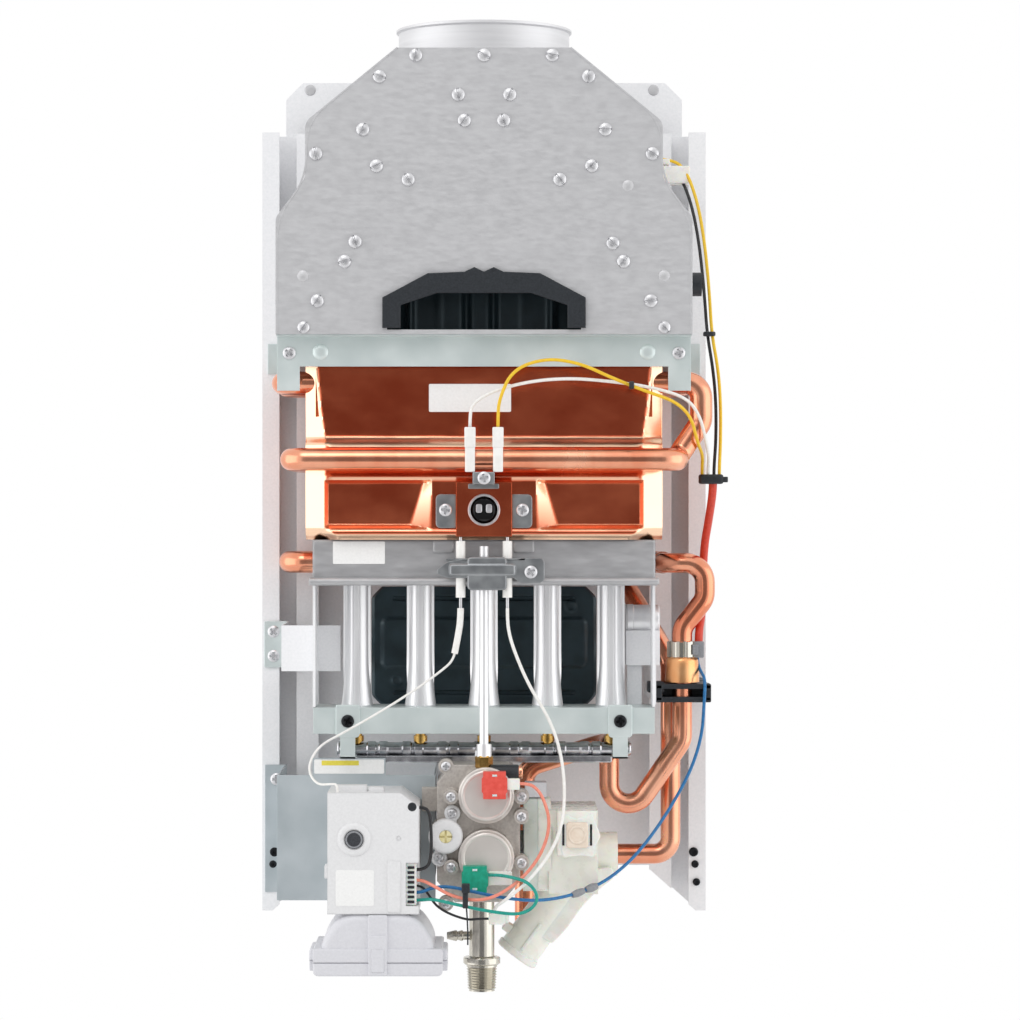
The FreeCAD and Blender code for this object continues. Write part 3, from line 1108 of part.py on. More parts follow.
def make_water_valve():
    """A moulded body: half of the diaphragm chamber, a block, a barrel, a selector boss and a nozzle."""
    back_half = rod("bell_right", "bell_r", ("bell_mid", "bell_to"), "gas_out", "rod_axis_z")
    lump = block("water_block", ("bell_to - 2", "water_to"), ("water_back", "water_front"),
                 ("water_bottom", "water_top"))
    barrel = rod("water_barrel", "barrel_r", ("water_to - 2", "barrel_to"), "cold_out", "cold_z")
    boss = block("select_boss", ("select_x - select_half", "select_x + select_half"),
                 ("water_front - 2", "water_front + select_proud"),
                 ("select_z - select_half - 2", "select_z + select_half + 2"))
    nozzle = tilted("water_nozzle", "nozzle_r", "0", "nozzle_long")
    whole = fuse("water_whole", back_half, lump, barrel, boss, nozzle)
    tools = [
        rod("water_chamber", "bell_hollow", ("bell_mid - 1", "bell_to - bell_wall"), "gas_out", "rod_axis_z"),
        rod("water_inner_way", "7", ("bell_to - bell_wall - 1", "water_to - 6"), "gas_out", "rod_axis_z"),
        rod("water_cross_way", "7", "water_to - 12", ("cold_out", "gas_out"), "cold_z"),
        rod("water_barrel_way", "pipe_r - pipe_wall", ("water_to - 14", "barrel_to - 12"), "cold_out",
            "cold_z"),
        rod("water_barrel_seat", "pipe_r", ("barrel_to - 12", "barrel_to + 1"), "cold_out", "cold_z"),
        rod("select_way", "knob_r + knob_fit", "select_x",
            ("water_front + select_proud - knob_long + 4", "water_front + select_proud + 1"), "select_z"),
        tilted("nozzle_way", "nozzle_bore", "nozzle_long - nozzle_depth", "nozzle_long + 1"),
        tilted("nozzle_inner_way", "nozzle_way_r", "-nozzle_root", "nozzle_long"),
    ]
    node("water_valve_body", cut("water_cut", whole, *tools))
    left_half = rod("bell_left", "bell_r", ("bell_from", "bell_mid"), "gas_out", "rod_axis_z")
    hub = rod("bell_hub", "9", ("valve_right", "bell_from + 1"), "gas_out", "rod_axis_z")
    chamber = rod("bell_chamber", "bell_hollow", ("bell_from + bell_wall", "bell_mid + 1"), "gas_out",
                  "rod_axis_z")
    way = rod("bell_way", "push_r + push_fit", ("valve_right - 1", "bell_mid"), "gas_out", "rod_axis_z")
    node("water_valve_cover", cut("bell_cut", fuse("bell_whole", left_half, hub), chamber, way))
    front = "water_front + select_proud"
    stem = rod("knob_stem", "knob_r", "select_x", (f"{front} - knob_long + 4.3", f"{front} + 1"), "select_z")
    head = block("knob_head", ("select_x - knob_half", "select_x + knob_half"),
                 (f"{front} + 0.3", f"{front} + 4"),
                 ("select_z - knob_half", "select_z + knob_half"))
    slots = [block(f"knob_slot_{i}", (f"select_x + {x} - 0.8", f"select_x + {x} + 0.8"),
                   (f"{front} + 2.5", f"{front} + 5"),
                   ("select_z - 6", "select_z + 6")) for i, x in enumerate((-5.5, 5.5))]
    node("flow_selector", cut("knob_cut", fuse("knob_whole", stem, head), *slots))
    switch = block("switch_case", ("bell_from + 1", "bell_to - 3"), ("gas_out - 8", "gas_out + 8"),
                   ("rod_axis_z + bell_r", "rod_axis_z + bell_r + 10"))
    node("microswitch", cut("switch_cut", switch, rod("switch_seat", "bell_r", ("bell_from", "bell_to"),
                                                      "gas_out", "rod_axis_z")))


def tilted(name, radius, start, end):
    """A cylinder along the slanted nozzle, from one distance down it to another."""
    solid = doc.addObject("Part::Cylinder", name)
    tilt = number("nozzle_tilt")
    solid.Placement.Rotation = Rotation(Vector(0, 1, 0), 180 + tilt)
    lean = "sin(nozzle_tilt)"
    fall = "cos(nozzle_tilt)"
    return bind(solid, Radius=radius, Height=f"({end}) - ({start})", x=f"nozzle_x - ({start}) * {lean}",
                out="nozzle_out", z=f"nozzle_z - ({start}) * {fall}")


# Pipes

def make_pipes():
    """Hot: side bend, clamp, loop, down to its spigot. Cold: barrel, clamp, behind the shell, coil."""
    start = "wrap_side - 5"
    hot = [(start, "wrap_near + hot_start", "wrap_low"), (start, "swing_out", "wrap_low"),
           ("swing_x", "swing_out", "wrap_low"), ("swing_x", "hot_out2 - 1", "wrap_low - 24"),
           ("hot_x2", "hot_out2", "wrap_low - 44"), ("hot_x2", "hot_out2", "clamp_bottom - 26"),
           ("loop_x", "hot_out2", "loop_bottom"), ("loop_x", "hot_out2", "loop_top"),
           ("loop_x", "hot_out", "loop_top"), ("hot_x", "hot_out", "drop_z"),
           ("hot_x", "hot_out", "spigot_bottom + spigot_long")]
    shape, radii, length = pipe(hot, "pipe_r", number("hot_bend"), "pipe_wall")
    print(f"hot pipe: {length:.0f} mm long")
    spigot = Part.makeCylinder(number("spigot_r"), number("spigot_long"),
                               place(("hot_x", "hot_out", "spigot_bottom")))
    bore = Part.makeCylinder(number("pipe_r - pipe_wall"), number("spigot_long") + 2,
                             place(("hot_x", "hot_out", "spigot_bottom - 1")))
    node("hot_pipe", shaped("hot_pipe", shape.fuse(spigot).cut(bore)))
    cold = [("barrel_to - 12", "cold_out", "cold_z"), ("cold_x", "cold_out", "cold_z"),
            ("cold_x", "cold_out", "clamp_top + 12"), ("rise_x", "wrap_rear", "rise_z"),
            ("rise_x", "wrap_rear", "tube_z"), ("cold_side", "wrap_rear", "tube_z"),
            ("cold_side", "tube_out", "tube_z"), ("shell_half + 2", "tube_out", "tube_z")]
    shape, radii, length = pipe(cold, "pipe_r", number("cold_bend"), "pipe_wall")
    print(f"cold pipe: {length:.0f} mm long")
    node("cold_pipe", shaped("cold_pipe", shape))


def make_clamp():
    """A black clamp round both pipes, on an arm from the right rail's lip."""
    up = ("clamp_bottom", "clamp_top")
    lump = block("clamp_block", ("clamp_from", "clamp_to"), ("clamp_back", "clamp_front"), up)
    arm = block("clamp_arm", ("clamp_to - clamp_arm", "clamp_to"), ("rail_depth", "clamp_back + 1"), up)
    ways = [rod("clamp_hot_way", "pipe_r + clamp_fit", "hot_x2", "hot_out2",
                ("clamp_bottom - 1", "clamp_top + 1")),
            rod("clamp_cold_way", "pipe_r + clamp_fit", "cold_x", "cold_out",
                ("clamp_bottom - 1", "clamp_top + 1"))]
    node("pipe_clamp", cut("clamp_cut", fuse("clamp_whole", lump, arm), *ways))


def make_thermostat():
    """A spring clip round the hot pipe, with the limit thermostat's block beside it."""
    up = ("clip_bottom", "clip_top")
    ring = rod("clip_ring", "clip_r", "hot_x2", "hot_out2", up)
    lump = block("stat_block", ("hot_x2 + clip_r - 3", "stat_x"),
                 ("hot_out2 - stat_r", "hot_out2 + stat_r"), up)
    way = rod("clip_way", "pipe_r", "hot_x2", "hot_out2", ("clip_bottom - 1", "clip_top + 1"))
    node("limit_thermostat", cut("stat_cut", fuse("stat_whole", ring, lump), way))


# Screws, leads and ties

HOOD_SCREWS = [(-45, 28), (0, 28), (45, 28), (-69, 14), (69, 14), (-17, 2), (17, 2), (-13, -15), (13, -15),
               (-80, -21), (80, -21), (-111, -37), (111, -37), (-71, -45), (71, -45), (-50, -54), (50, -54),
               (-85, -95), (-92, -108), (85, -96), (92, -108), (-110, -134), (110, -134)]


def make_screws():
    """Pan heads, each seated on its sheet: X, the seat's distance out, and Z."""
    heads = [(x, f"{HOOD_FRONT} + hood_gauge", z) for x, z in HOOD_SCREWS]
    cross = "cross_front + cross_gauge"
    heads += [(f"-{CROSS_HALF} + 8", cross, "hood_bottom - 12"),
              (f"{CROSS_HALF} - 8", cross, "hood_bottom - 12")]
    tab = "shell_front + tab_gauge"
    heads += [("-sight_half - tab_wide / 2", tab, "sight_z"), ("sight_half + tab_wide / 2", tab, "sight_z"),
              (0, "plug_clip_out", "plug_clip_z - 4")]
    heads += [("elec_half", "frame_front + frame_lip + elec_reach", "elec_top - 9")]
    lip = "rail_depth + bracket_gauge"
    heads += [("-rail_outer + 8", lip, "bracket_top - 7"), ("-rail_outer + 8", lip, "bracket_bottom + 7")]
    heads += [(f"{side} * mplate_x", "mrail_front + mplate_gauge", "mrail_top - 9") for side in (-1, 1)]
    heads += [(f"cap_x + {side} * bolt_x", "boss_front", z) for side, z in VALVE_BOLTS]
    heads += [("valve_left + 6", "valve_front", "valve_top - 1"),
              ("valve_left + 6", "valve_front", "valve_bottom - 1"),
              ("mount_left - 6", "rail_depth + mount_gauge", "mount_top - 10")]
    heads += [(f"adjust_x + ear_reach * {lean}", "valve_front + 5", f"adjust_z + ear_reach * {rise}")
              for lean, rise in ((0.28, 0.96), (-0.28, -0.96))]
    screws = [cone(f"screw_{index}", "screw_r", "screw_r * 0.8", str(x), (seat, f"{seat} + screw_head"),
                   str(z))
              for index, (x, seat, z) in enumerate(heads)]
    node("pan_screws", group("screw_set", *screws))


# Each lead's route as X, distance out and Z, from the piece it leaves to the piece it enters.
LEADS = {
    "yellow_top": ("lead_r", [(9.2, 178, -217.5), (9.2, 178, -211), (9.8, 179.5, -199.7), (18.4, 182, -180),
                              (40, 183, -172.3), (63, 182, -175.5), (84.1, 180, -185.3), (108, 174, -194.3),
                              (127, 168, -200.5), (137.5, 163, -211), (141.5, 157, -227),
                              (146.3, 138, -235), (146.8, 123, -243), (146.8, 123, -248)]),
    "white_top": ("lead_r", [(-9.2, 178, -217.5), (-9.2, 178, -211), (-8, 177, -202), (5.3, 176.2, -193.8),
                             (30.2, 176.5, -187.2), (56.5, 177, -185.2), (81.6, 175, -187.1),
                             (108.2, 169, -190.4), (133.9, 160, -197.1), (143, 157, -209),
                             (147.5, 151, -225), (150.5, 136, -236), (150.7, 124, -243),
                             (150.7, 124, -248)]),
    "black_side": ("lead_r", [(118.1, 60, -36), (126, 60, -36), (136, 62, -42), (143, 70, -62),
                              (147, 88, -90), (149.5, 104, -125), (150.3, 120, -153.4),
                              (154.2, 121, -176.4), (156.2, 122, -199.3), (156.2, 122, -225),
                              (154.9, 121, -243), (154.9, 121, -248)]),
    "yellow_side": ("lead_r", [(118.1, 64, -30), (128, 64, -30), (138.5, 66, -36), (146.5, 76, -60),
                               (150.5, 92, -90), (152.8, 106, -125), (153.2, 123, -153.6),
                               (157.5, 123, -176.4), (159.2, 124, -199.3), (159.2, 124, -225),
                               (158.4, 123, -243), (158.4, 123, -248)]),
    "red_sleeve": ("sleeve_r", [(154.2, 121, -254), (154.2, 121, -260), (152.5, 100, -280),
                                (150, 88.5, -298), (148.8, 88, -336), (148.5, 90, -344), (145.9, 101, -354),
                                (145.9, 101, -361)]),
    "blue": ("lead_r", [(145, 101, -372), (145, 101, -375.5), (146.5, 107, -381), (149.4, 117.2, -386),
                        (148.4, 118, -403.5), (147.1, 117, -423.8), (140.3, 118, -446),
                        (127.9, 122, -468.6), (113.4, 130, -489.4), (97.6, 138, -507.4),
                        (78.5, 150, -520.8), (56.9, 163, -527.4), (36.9, 175, -529.4), (17, 184, -527.1),
                        (-3.9, 186, -522.9), (-23.6, 186, -518.3), (-35, 184, -519.9), (-40.5, 181, -523),
                        (-44.8, 181, -523)]),
    "coral": ("lead_r", [(22.6, 176, -452), (27, 176, -452), (33, 176.5, -453.5), (39, 174, -461),
                         (44.2, 171, -479.1), (37.6, 172, -500.1), (23, 182, -516.3), (2.6, 191.5, -527.7),
                         (-19, 190, -525.8), (-34, 188, -517.5), (-40.5, 181, -515), (-44.8, 181, -515)]),
    "white_right": ("lead_r", [(15.5, 161.4, -337), (15.5, 161.4, -342), (16, 163, -351),
                               (19.2, 165, -363.2), (29.1, 162, -387.2), (42.4, 160, -408.5),
                               (50.4, 160, -429.7), (53.5, 166, -453.7), (52, 176, -477.3),
                               (44.7, 177, -496.9), (28.9, 184, -515.9), (14, 188, -527.5),
                               (6.5, 184, -532.5), (6.5, 184, -537)]),
    "white_left": ("thin_r", [(-19.5, 163, -367), (-20.5, 163.1, -371.8), (-29, 162.5, -379),
                              (-45.7, 160, -391.3), (-69, 155, -406.1), (-92.4, 151, -419.6),
                              (-110.4, 151, -429), (-117.4, 158, -443.1), (-110.8, 170, -453.4),
                              (-99.8, 180, -452), (-96, 184, -452), (-96, 184, -457)]),
    "left_sleeve": ("splice_r", [(-15.5, 161.4, -337), (-15.5, 161.4, -341.5), (-16.3, 162.7, -351.3),
                                 (-19.5, 163, -367)]),
    "black_box": ("lead_r", [(-42.5, 184, -467), (-38.5, 184, -467), (-35.5, 184, -471),
                             (-34.5, 184.5, -484), (-34.5, 184, -499), (-37.5, 182, -508),
                             (-44.8, 182, -508)]),
    "teal": ("lead_r", [(1.6, 177, -512), (6.5, 177, -512), (15.5, 182, -512.3), (30.1, 189, -515.6),
                        (36.6, 191, -527.1), (26.1, 192, -536.8), (5.2, 193, -534.6), (-17, 192, -530.1),
                        (-34, 188, -526.5), (-40.5, 182, -528), (-44.8, 182, -528)]),
    "black_thin": ("thin_r", [(3, 184, -540), (-3, 184, -540), (-12, 184, -541), (-30, 181, -534),
                              (-37, 178.2, -524), (-41, 178, -519), (-44.8, 178, -519)]),
}


def lead(name):
    radius, route = LEADS[name]
    shape, radii, length = pipe(route, radius)
    print(f"{name}: {length:.0f} mm long, bends " + ", ".join(f"{r:.0f}" for r in radii))
    return shape


def solid_between(across, out, up):
    """A plain cuboid's shape between given places."""
    low = place((across[0], out[1], up[0]))
    return Part.makeBox(number(span(across)), number(span(out)), number(span(up)), low)


def tie(across, out, up, radius, *leads):
    """A strap's disc across the X direction, with the leads' ways through it."""
    disc = Part.makeCylinder(radius, 3, place((across, out, up)), Vector(1, 0, 0))
    for shape in leads:
        disc = disc.cut(shape)
    return disc


def make_leads():
    """Leads with their sleeves, connectors and ties: the exchanger's side, then the valve's side."""
    upper = {name: lead(name) for name in ("yellow_top", "white_top", "black_side", "yellow_side",
                                           "red_sleeve")}
    ceramics = [solid_between((f"{side} * ceramic_x - ceramic_half", f"{side} * ceramic_x + ceramic_half"),
                              ("ceramic_from", "ceramic_to"), ("plug_clip_z", "ceramic_top"))
                for side in (-1, 1)]
    collector = solid_between(("144.5", "161"), ("117", "127.5"), ("-254", "-248"))
    strap = tie(97, 174.5, -190, 6.5, upper["yellow_top"], upper["white_top"])
    pieces = [*upper.values(), *ceramics, collector, strap]
    node("upper_leads", shaped("upper_leads", Part.makeCompound(pieces)))
    names = ("blue", "coral", "white_right", "white_left", "left_sleeve", "black_box", "teal", "black_thin")
    lower = {name: lead(name) for name in names}
    splices = [pipe([(74, 152.7, -522.2), (68, 156.3, -524)], "splice_r")[0],
               pipe([(65, 158.1, -524.9), (59, 161.7, -526.8)], "splice_r")[0]]
    lower["blue"] = lower["blue"].fuse(splices)
    strap = tie(-12, 189.7, -526.4, 8, lower["blue"], lower["coral"], lower["teal"])
    clip = solid_between(("3", "14"), ("180", "188"), ("-543", "-537"))
    node("lower_leads", shaped("lower_leads", Part.makeCompound([*lower.values(), strap, clip])))


for make in (make_back_panel, make_hood, make_trim, make_baffle, make_spill_sensor, make_cross_rail,
             make_shell,
             make_fins, make_water_coil, make_wrap_tube, make_sight, make_burner_frame, make_burner_bars,
             make_mixers, make_shield, make_electrodes, make_manifold, make_burner_brackets,
             make_mounting_plate, make_control_box, make_battery_box, make_gas_valve, make_adjuster,
             make_poppet, make_gas_inlet, make_water_valve, make_pipes, make_clamp, make_thermostat,
             make_screws, make_leads):
    make()
make_rail(-1, "side_rail_left")
make_rail(1, "side_rail_right")
doc.recompute()

for thing in doc.Objects:
    if "Invalid" in thing.State or "Error" in thing.State:
        raise RuntimeError(f"{thing.Name} failed: {thing.State}")
os.makedirs("parts", exist_ok=True)
for piece in nodes:
    shape = piece.Shape
    if shape.isNull() or not shape.isValid() or not shape.Solids:
        raise RuntimeError(f"{piece.Label} has no valid solid")
    shape.exportStep(f"parts/{piece.Label}.step")
print(f"{len(nodes)} nodes, {sum(len(piece.Shape.Solids) for piece in nodes)} solids")
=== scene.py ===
# %% [markdown]
# # A tankless gas water heater with its cover off
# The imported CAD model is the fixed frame. Sheet metal and castings whose CAD shape is right stay and
# get a worked-out finish. Pressed copper, mouldings with soft edges, threads, screw heads and leads
# are new surfaces, and each lies where the CAD says its piece is.

import bmesh
import bpy
import numpy as np
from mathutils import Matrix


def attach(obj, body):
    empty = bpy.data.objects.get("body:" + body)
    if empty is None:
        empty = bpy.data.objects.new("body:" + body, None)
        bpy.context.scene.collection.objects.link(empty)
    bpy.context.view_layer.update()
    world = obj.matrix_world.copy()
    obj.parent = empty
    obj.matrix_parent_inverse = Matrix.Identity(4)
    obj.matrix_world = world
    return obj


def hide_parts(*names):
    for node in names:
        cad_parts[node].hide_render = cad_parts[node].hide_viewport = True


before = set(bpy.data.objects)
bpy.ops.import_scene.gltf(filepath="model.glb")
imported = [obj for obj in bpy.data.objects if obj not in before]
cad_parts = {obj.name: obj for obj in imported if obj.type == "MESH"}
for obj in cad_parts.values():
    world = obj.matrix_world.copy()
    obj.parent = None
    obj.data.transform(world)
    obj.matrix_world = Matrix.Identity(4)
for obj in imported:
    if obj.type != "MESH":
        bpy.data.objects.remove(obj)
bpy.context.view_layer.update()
HEATER = "heater"
MM = 0.001
print("nodes in the frame:", len(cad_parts))

# %% [markdown]
# The photograph is a straight front view. The heater's middle lies 26 picture points left of the
# frame's middle, so the lens is shifted sideways by that much and the camera isn't turned.

# %% Camera
FRAME_POINTS = 1020
SENSOR_MM = 36.0
FOCAL_POINTS = 3532
AXIS_POINT = 484
CAMERA_AWAY = 2.5
CAMERA_HEIGHT = -0.272


def add_object(name, data):
    """Puts data into the scene as an object that sits at the origin."""
    thing = bpy.data.objects.new(name, data)
    bpy.context.scene.collection.objects.link(thing)
    return thing


lens = bpy.data.cameras.new("camera")
lens.sensor_width = SENSOR_MM
lens.lens = FOCAL_POINTS * SENSOR_MM / FRAME_POINTS
lens.shift_x = (FRAME_POINTS / 2 - AXIS_POINT) / FRAME_POINTS
camera = add_object("camera", lens)
camera.location = (0, -CAMERA_AWAY, CAMERA_HEIGHT)
camera.rotation_euler = (np.pi / 2, 0, 0)
bpy.context.scene.camera = camera
bpy.context.scene.view_settings.view_transform = "Standard"
print("lens:", round(lens.lens, 1), "mm")


# %% [markdown]
# Colours are written as sRGB hex and turned to linear light, which is what a shader wants. One small
# function adds a node, sets it up and links it.

# %% Colours and nodes
def linear(code):
    """An sRGB hex colour as linear RGBA: the power of 2.4 above a short straight foot."""
    value = np.array([int(code[i:i + 2], 16) for i in (0, 2, 4)]) / 255
    value = np.where(value <= 0.04045, value / 12.92, ((value + 0.055) / 1.055) ** 2.4)
    return (*value.tolist(), 1.0)


def add_node(tree, kind, inputs=None, **settings):
    """Adds a node; an input that is another node's socket becomes a link, anything else its value."""
    node = tree.nodes.new(kind)
    for name, value in settings.items():
        setattr(node, name, value)
    for name, value in (inputs or {}).items():
        if isinstance(value, bpy.types.NodeSocket):
            tree.links.new(value, node.inputs[name])
        else:
            node.inputs[name].default_value = value
    return node


# %% [markdown]
# Metal shows what stands round it. A catalogue photographer lights such a product with large soft
# boxes at the sides and keeps the front darker, so that flat copper reads deep red and every crease
# flashes pale. A grey card behind the camera, seen only in reflections, does that here, and the pressed
# copper's colour also carries its pale creases as a painted highlight. The world is white to the camera
# and in reflections, and lights the object less than it shows.

# %% World
WORLD_LIGHT = 0.78
world = bpy.data.worlds.new("white_studio")
world.use_nodes = True
tree = world.node_tree
tree.nodes.clear()
path = add_node(tree, "ShaderNodeLightPath")
seen = path.outputs["Is Camera Ray"]
for kind_of_ray in ("Is Glossy Ray", "Is Transmission Ray"):
    seen = add_node(tree, "ShaderNodeMath", {0: seen, 1: path.outputs[kind_of_ray]},
                    operation="MAXIMUM").outputs[0]
level = add_node(tree, "ShaderNodeMapRange", {"Value": seen, "To Min": WORLD_LIGHT, "To Max": 1.0})
shine = add_node(tree, "ShaderNodeBackground", {"Color": (1, 1, 1, 1), "Strength": level.outputs[0]})
add_node(tree, "ShaderNodeOutputWorld", {"Surface": shine.outputs[0]})
bpy.context.scene.world = world
print("world light:", WORLD_LIGHT)


# %% [markdown]
# The lamps are broad squares, as a photographer's soft boxes are. A spot or a sun lamp is quicker to
# place, but it shows in metal as a hard dot, where a broad one draws a long soft band along each tube.

# %% Soft boxes
def softbox(name, place_m, aim, size, watts):
    """A square area lamp at a place, turned to face a point."""
    lamp = bpy.data.lights.new(name, "AREA")
    lamp.shape = "SQUARE"
    lamp.size = size
    lamp.energy = watts
    thing = add_object(name, lamp)
    thing.location = place_m
    away = np.array(place_m) - np.array(aim)
    thing.rotation_euler = (np.arctan2(np.hypot(away[0], away[1]), away[2]), 0,
                            np.arctan2(away[1], away[0]) + np.pi / 2)
    print(name, watts, "W,", size, "m across")


softbox("side_left", (-1.5, -0.55, -0.2), (0, 0, -0.27), 1.6, 7.5)
softbox("side_right", (1.5, -0.55, -0.2), (0, 0, -0.27), 1.6, 7)
softbox("key_top", (-0.5, -1.6, 1.5), (0, 0, -0.25), 1.0, 8)

# %% [markdown]
# The floor is a pale sheet well under the heater. Its paint fades to clear away from its middle, so
# that it keeps a soft shadow and shows no edge. The grey card glows by itself, so that its level in
# the copper doesn't depend on the lamps.

# %% Floor and card
FLOOR_Z, FLOOR_Y, FLOOR_HALF = -0.9, -0.1, 1.0
FADE_FROM, FADE_TO = 0.3, 0.95
CARD_Y, CARD_HALF, CARD_FOOT, CARD_TOP = -3.2, 1.3, -1.6, 1.1
CARD_GREY = "8A8A8C"


def stage_sheet(name, corners, colour, glow=False):
    """A flat sheet of the studio: four corners in metres, painted or softly glowing."""
    mesh = bpy.data.meshes.new(name)
    mesh.from_pydata(corners, [], [(0, 1, 2, 3)])
    material = bpy.data.materials.new(name)
    material.use_nodes = True
    paint = material.node_tree.nodes["Principled BSDF"]
    paint.inputs["Base Color"].default_value = linear("000000" if glow else colour)
    paint.inputs["Roughness"].default_value = 0.9
    if glow:
        paint.inputs["Specular IOR Level"].default_value = 0.0
        paint.inputs["Emission Color"].default_value = linear(colour)
        paint.inputs["Emission Strength"].default_value = 1.0
    mesh.materials.append(material)
    thing = add_object(name, mesh)
    return thing


near, far = FLOOR_Y - FLOOR_HALF, FLOOR_Y + FLOOR_HALF
floor = stage_sheet("studio_floor", [(-FLOOR_HALF, near, FLOOR_Z), (FLOOR_HALF, near, FLOOR_Z),
                                     (FLOOR_HALF, far, FLOOR_Z), (-FLOOR_HALF, far, FLOOR_Z)], "F6F6F6")
tree = floor.active_material.node_tree
where = add_node(tree, "ShaderNodeTexCoord").outputs["Object"]
away = add_node(tree, "ShaderNodeVectorMath", {0: where, 1: (0, FLOOR_Y, FLOOR_Z)}, operation="DISTANCE")
clear = add_node(tree, "ShaderNodeMapRange", {"Value": away.outputs["Value"], "From Min": FADE_FROM,
                                              "From Max": FADE_TO})
nothing = add_node(tree, "ShaderNodeBsdfTransparent")
paint = tree.nodes["Principled BSDF"]
faded = add_node(tree, "ShaderNodeMixShader", {0: clear.outputs[0], 1: paint.outputs[0],
                                               2: nothing.outputs[0]})
tree.links.new(faded.outputs[0], tree.nodes["Material Output"].inputs["Surface"])
card = stage_sheet("grey_card", [(-CARD_HALF, CARD_Y, CARD_FOOT), (CARD_HALF, CARD_Y, CARD_FOOT),
                                 (CARD_HALF, CARD_Y, CARD_TOP), (-CARD_HALF, CARD_Y, CARD_TOP)],
                   CARD_GREY, glow=True)
for kind_of_ray in ("camera", "diffuse", "transmission", "shadow"):
    setattr(card, f"visible_{kind_of_ray}", False)
print("floor", 2 * FLOOR_HALF, "m across; card", 2 * CARD_HALF, "m across")

# %% [markdown]
# ## Finishes
# Each finish starts from the real material and how its surface was made. Patterns use Object
# coordinates, so a pattern's scale is one over its size in metres, and nothing slides in another view.
# One noise drives colour, gloss and grain together, because on a real surface the same spot is darker,
# duller and deeper; an image would fix the looks of one side only.

# %% Finish helper
materials = {}
NOISE_RANGE = (0.32, 0.68)
GRAIN_STRENGTH = 0.6
SLANTED = (-0.96, -0.8)
SIDEWAYS = (-0.55, -0.3)


def finish(name, colours, grain_mm, rough, metallic=0.0, bump_mm=0.0, stretch=(1, 1, 1), detail=4.0,
           soft_mm=0.0, wave=None, painted_sheen=None, settings=None):
    """A finish whose colour and roughness follow one noise, with a fine relief and slow waves.

    Colour = mix of two hex colours by the noise; roughness = the same noise mapped to a range;
    wave = (size in mm, depth in mm) of the unevenness that bends reflections; painted_sheen = two hex
    colours of painted highlight, for the faces that slant away from the front and for the sideways ones.
    """
    material = bpy.data.materials.new(name)
    material.use_nodes = True
    tree = material.node_tree
    tree.nodes.clear()
    where = add_node(tree, "ShaderNodeTexCoord")
    placed = add_node(tree, "ShaderNodeMapping", {"Vector": where.outputs["Object"], "Scale": stretch})
    noise = add_node(tree, "ShaderNodeTexNoise", {"Vector": placed.outputs[0], "Scale": 1 / (grain_mm * MM),
                                                  "Detail": detail})
    spread = add_node(tree, "ShaderNodeMapRange", {"Value": noise.outputs["Fac"], "From Min": NOISE_RANGE[0],
                                                   "From Max": NOISE_RANGE[1]})
    tint = add_node(tree, "ShaderNodeMix", {"Factor": spread.outputs[0], 6: linear(colours[0]),
                                            7: linear(colours[1])}, data_type="RGBA")
    gloss = add_node(tree, "ShaderNodeMapRange", {"Value": spread.outputs[0], "To Min": rough[0],
                                                  "To Max": rough[1]})
    # Painted highlight: faces that turn away from the front are painted paler by their normal, in place of
    # the side boxes' glare.
    if painted_sheen:
        normal = add_node(tree, "ShaderNodeNewGeometry").outputs["Normal"]
        forward = add_node(tree, "ShaderNodeSeparateXYZ", {"Vector": normal}).outputs["Y"]
        for colour, (none, full) in zip(painted_sheen, (SLANTED, SIDEWAYS)):
            sheen_share = add_node(tree, "ShaderNodeMapRange", {"Value": forward, "From Min": none,
                                                         "From Max": full})
            tint = add_node(tree, "ShaderNodeMix", {"Factor": sheen_share.outputs[0], 6: tint.outputs[2],
                                                    7: linear(colour)}, data_type="RGBA")
    shader = add_node(tree, "ShaderNodeBsdfPrincipled", {"Base Color": tint.outputs[2],
                                                         "Roughness": gloss.outputs[0],
                                                         "Metallic": metallic, **(settings or {})})
    normal = {}
    if soft_mm:
        soft = add_node(tree, "ShaderNodeBevel", {"Radius": soft_mm * MM}, samples=4)
        normal = {"Normal": soft.outputs[0]}
    reliefs = []
    if wave:
        swell = add_node(tree, "ShaderNodeTexNoise", {"Vector": where.outputs["Object"],
                                                      "Scale": 1 / (wave[0] * MM), "Detail": 1.0})
        reliefs.append((swell, wave[1], 1.0))
    if bump_mm:
        reliefs.append((noise, bump_mm, GRAIN_STRENGTH))
    for height, depth_mm, strength in reliefs:
        bump = add_node(tree, "ShaderNodeBump", {"Height": height.outputs["Fac"], "Distance": depth_mm * MM,
                                                 "Strength": strength, **normal})
        normal = {"Normal": bump.outputs[0]}
    if normal:
        tree.links.new(normal["Normal"], shader.inputs["Normal"])
    add_node(tree, "ShaderNodeOutputMaterial", {"Surface": shader.outputs[0]})
    materials[name] = material


def dress(material_name, *nodes):
    """Gives CAD nodes a finish: it goes into the first material slot of their meshes."""
    for name in nodes:
        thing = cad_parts[name]
        thing.data.materials.clear()
        thing.data.materials.append(materials[material_name])
    print(material_name, "on", ", ".join(nodes))


# %% [markdown]
# Sheet steel comes as powder coat on the chassis, hot-dip zinc with a fine rolled grain on the hood
# and burner, and bright or blue zinc plate on the brackets. The rolled grain is drawn a few times
# coarser than the real one, so that it shows.

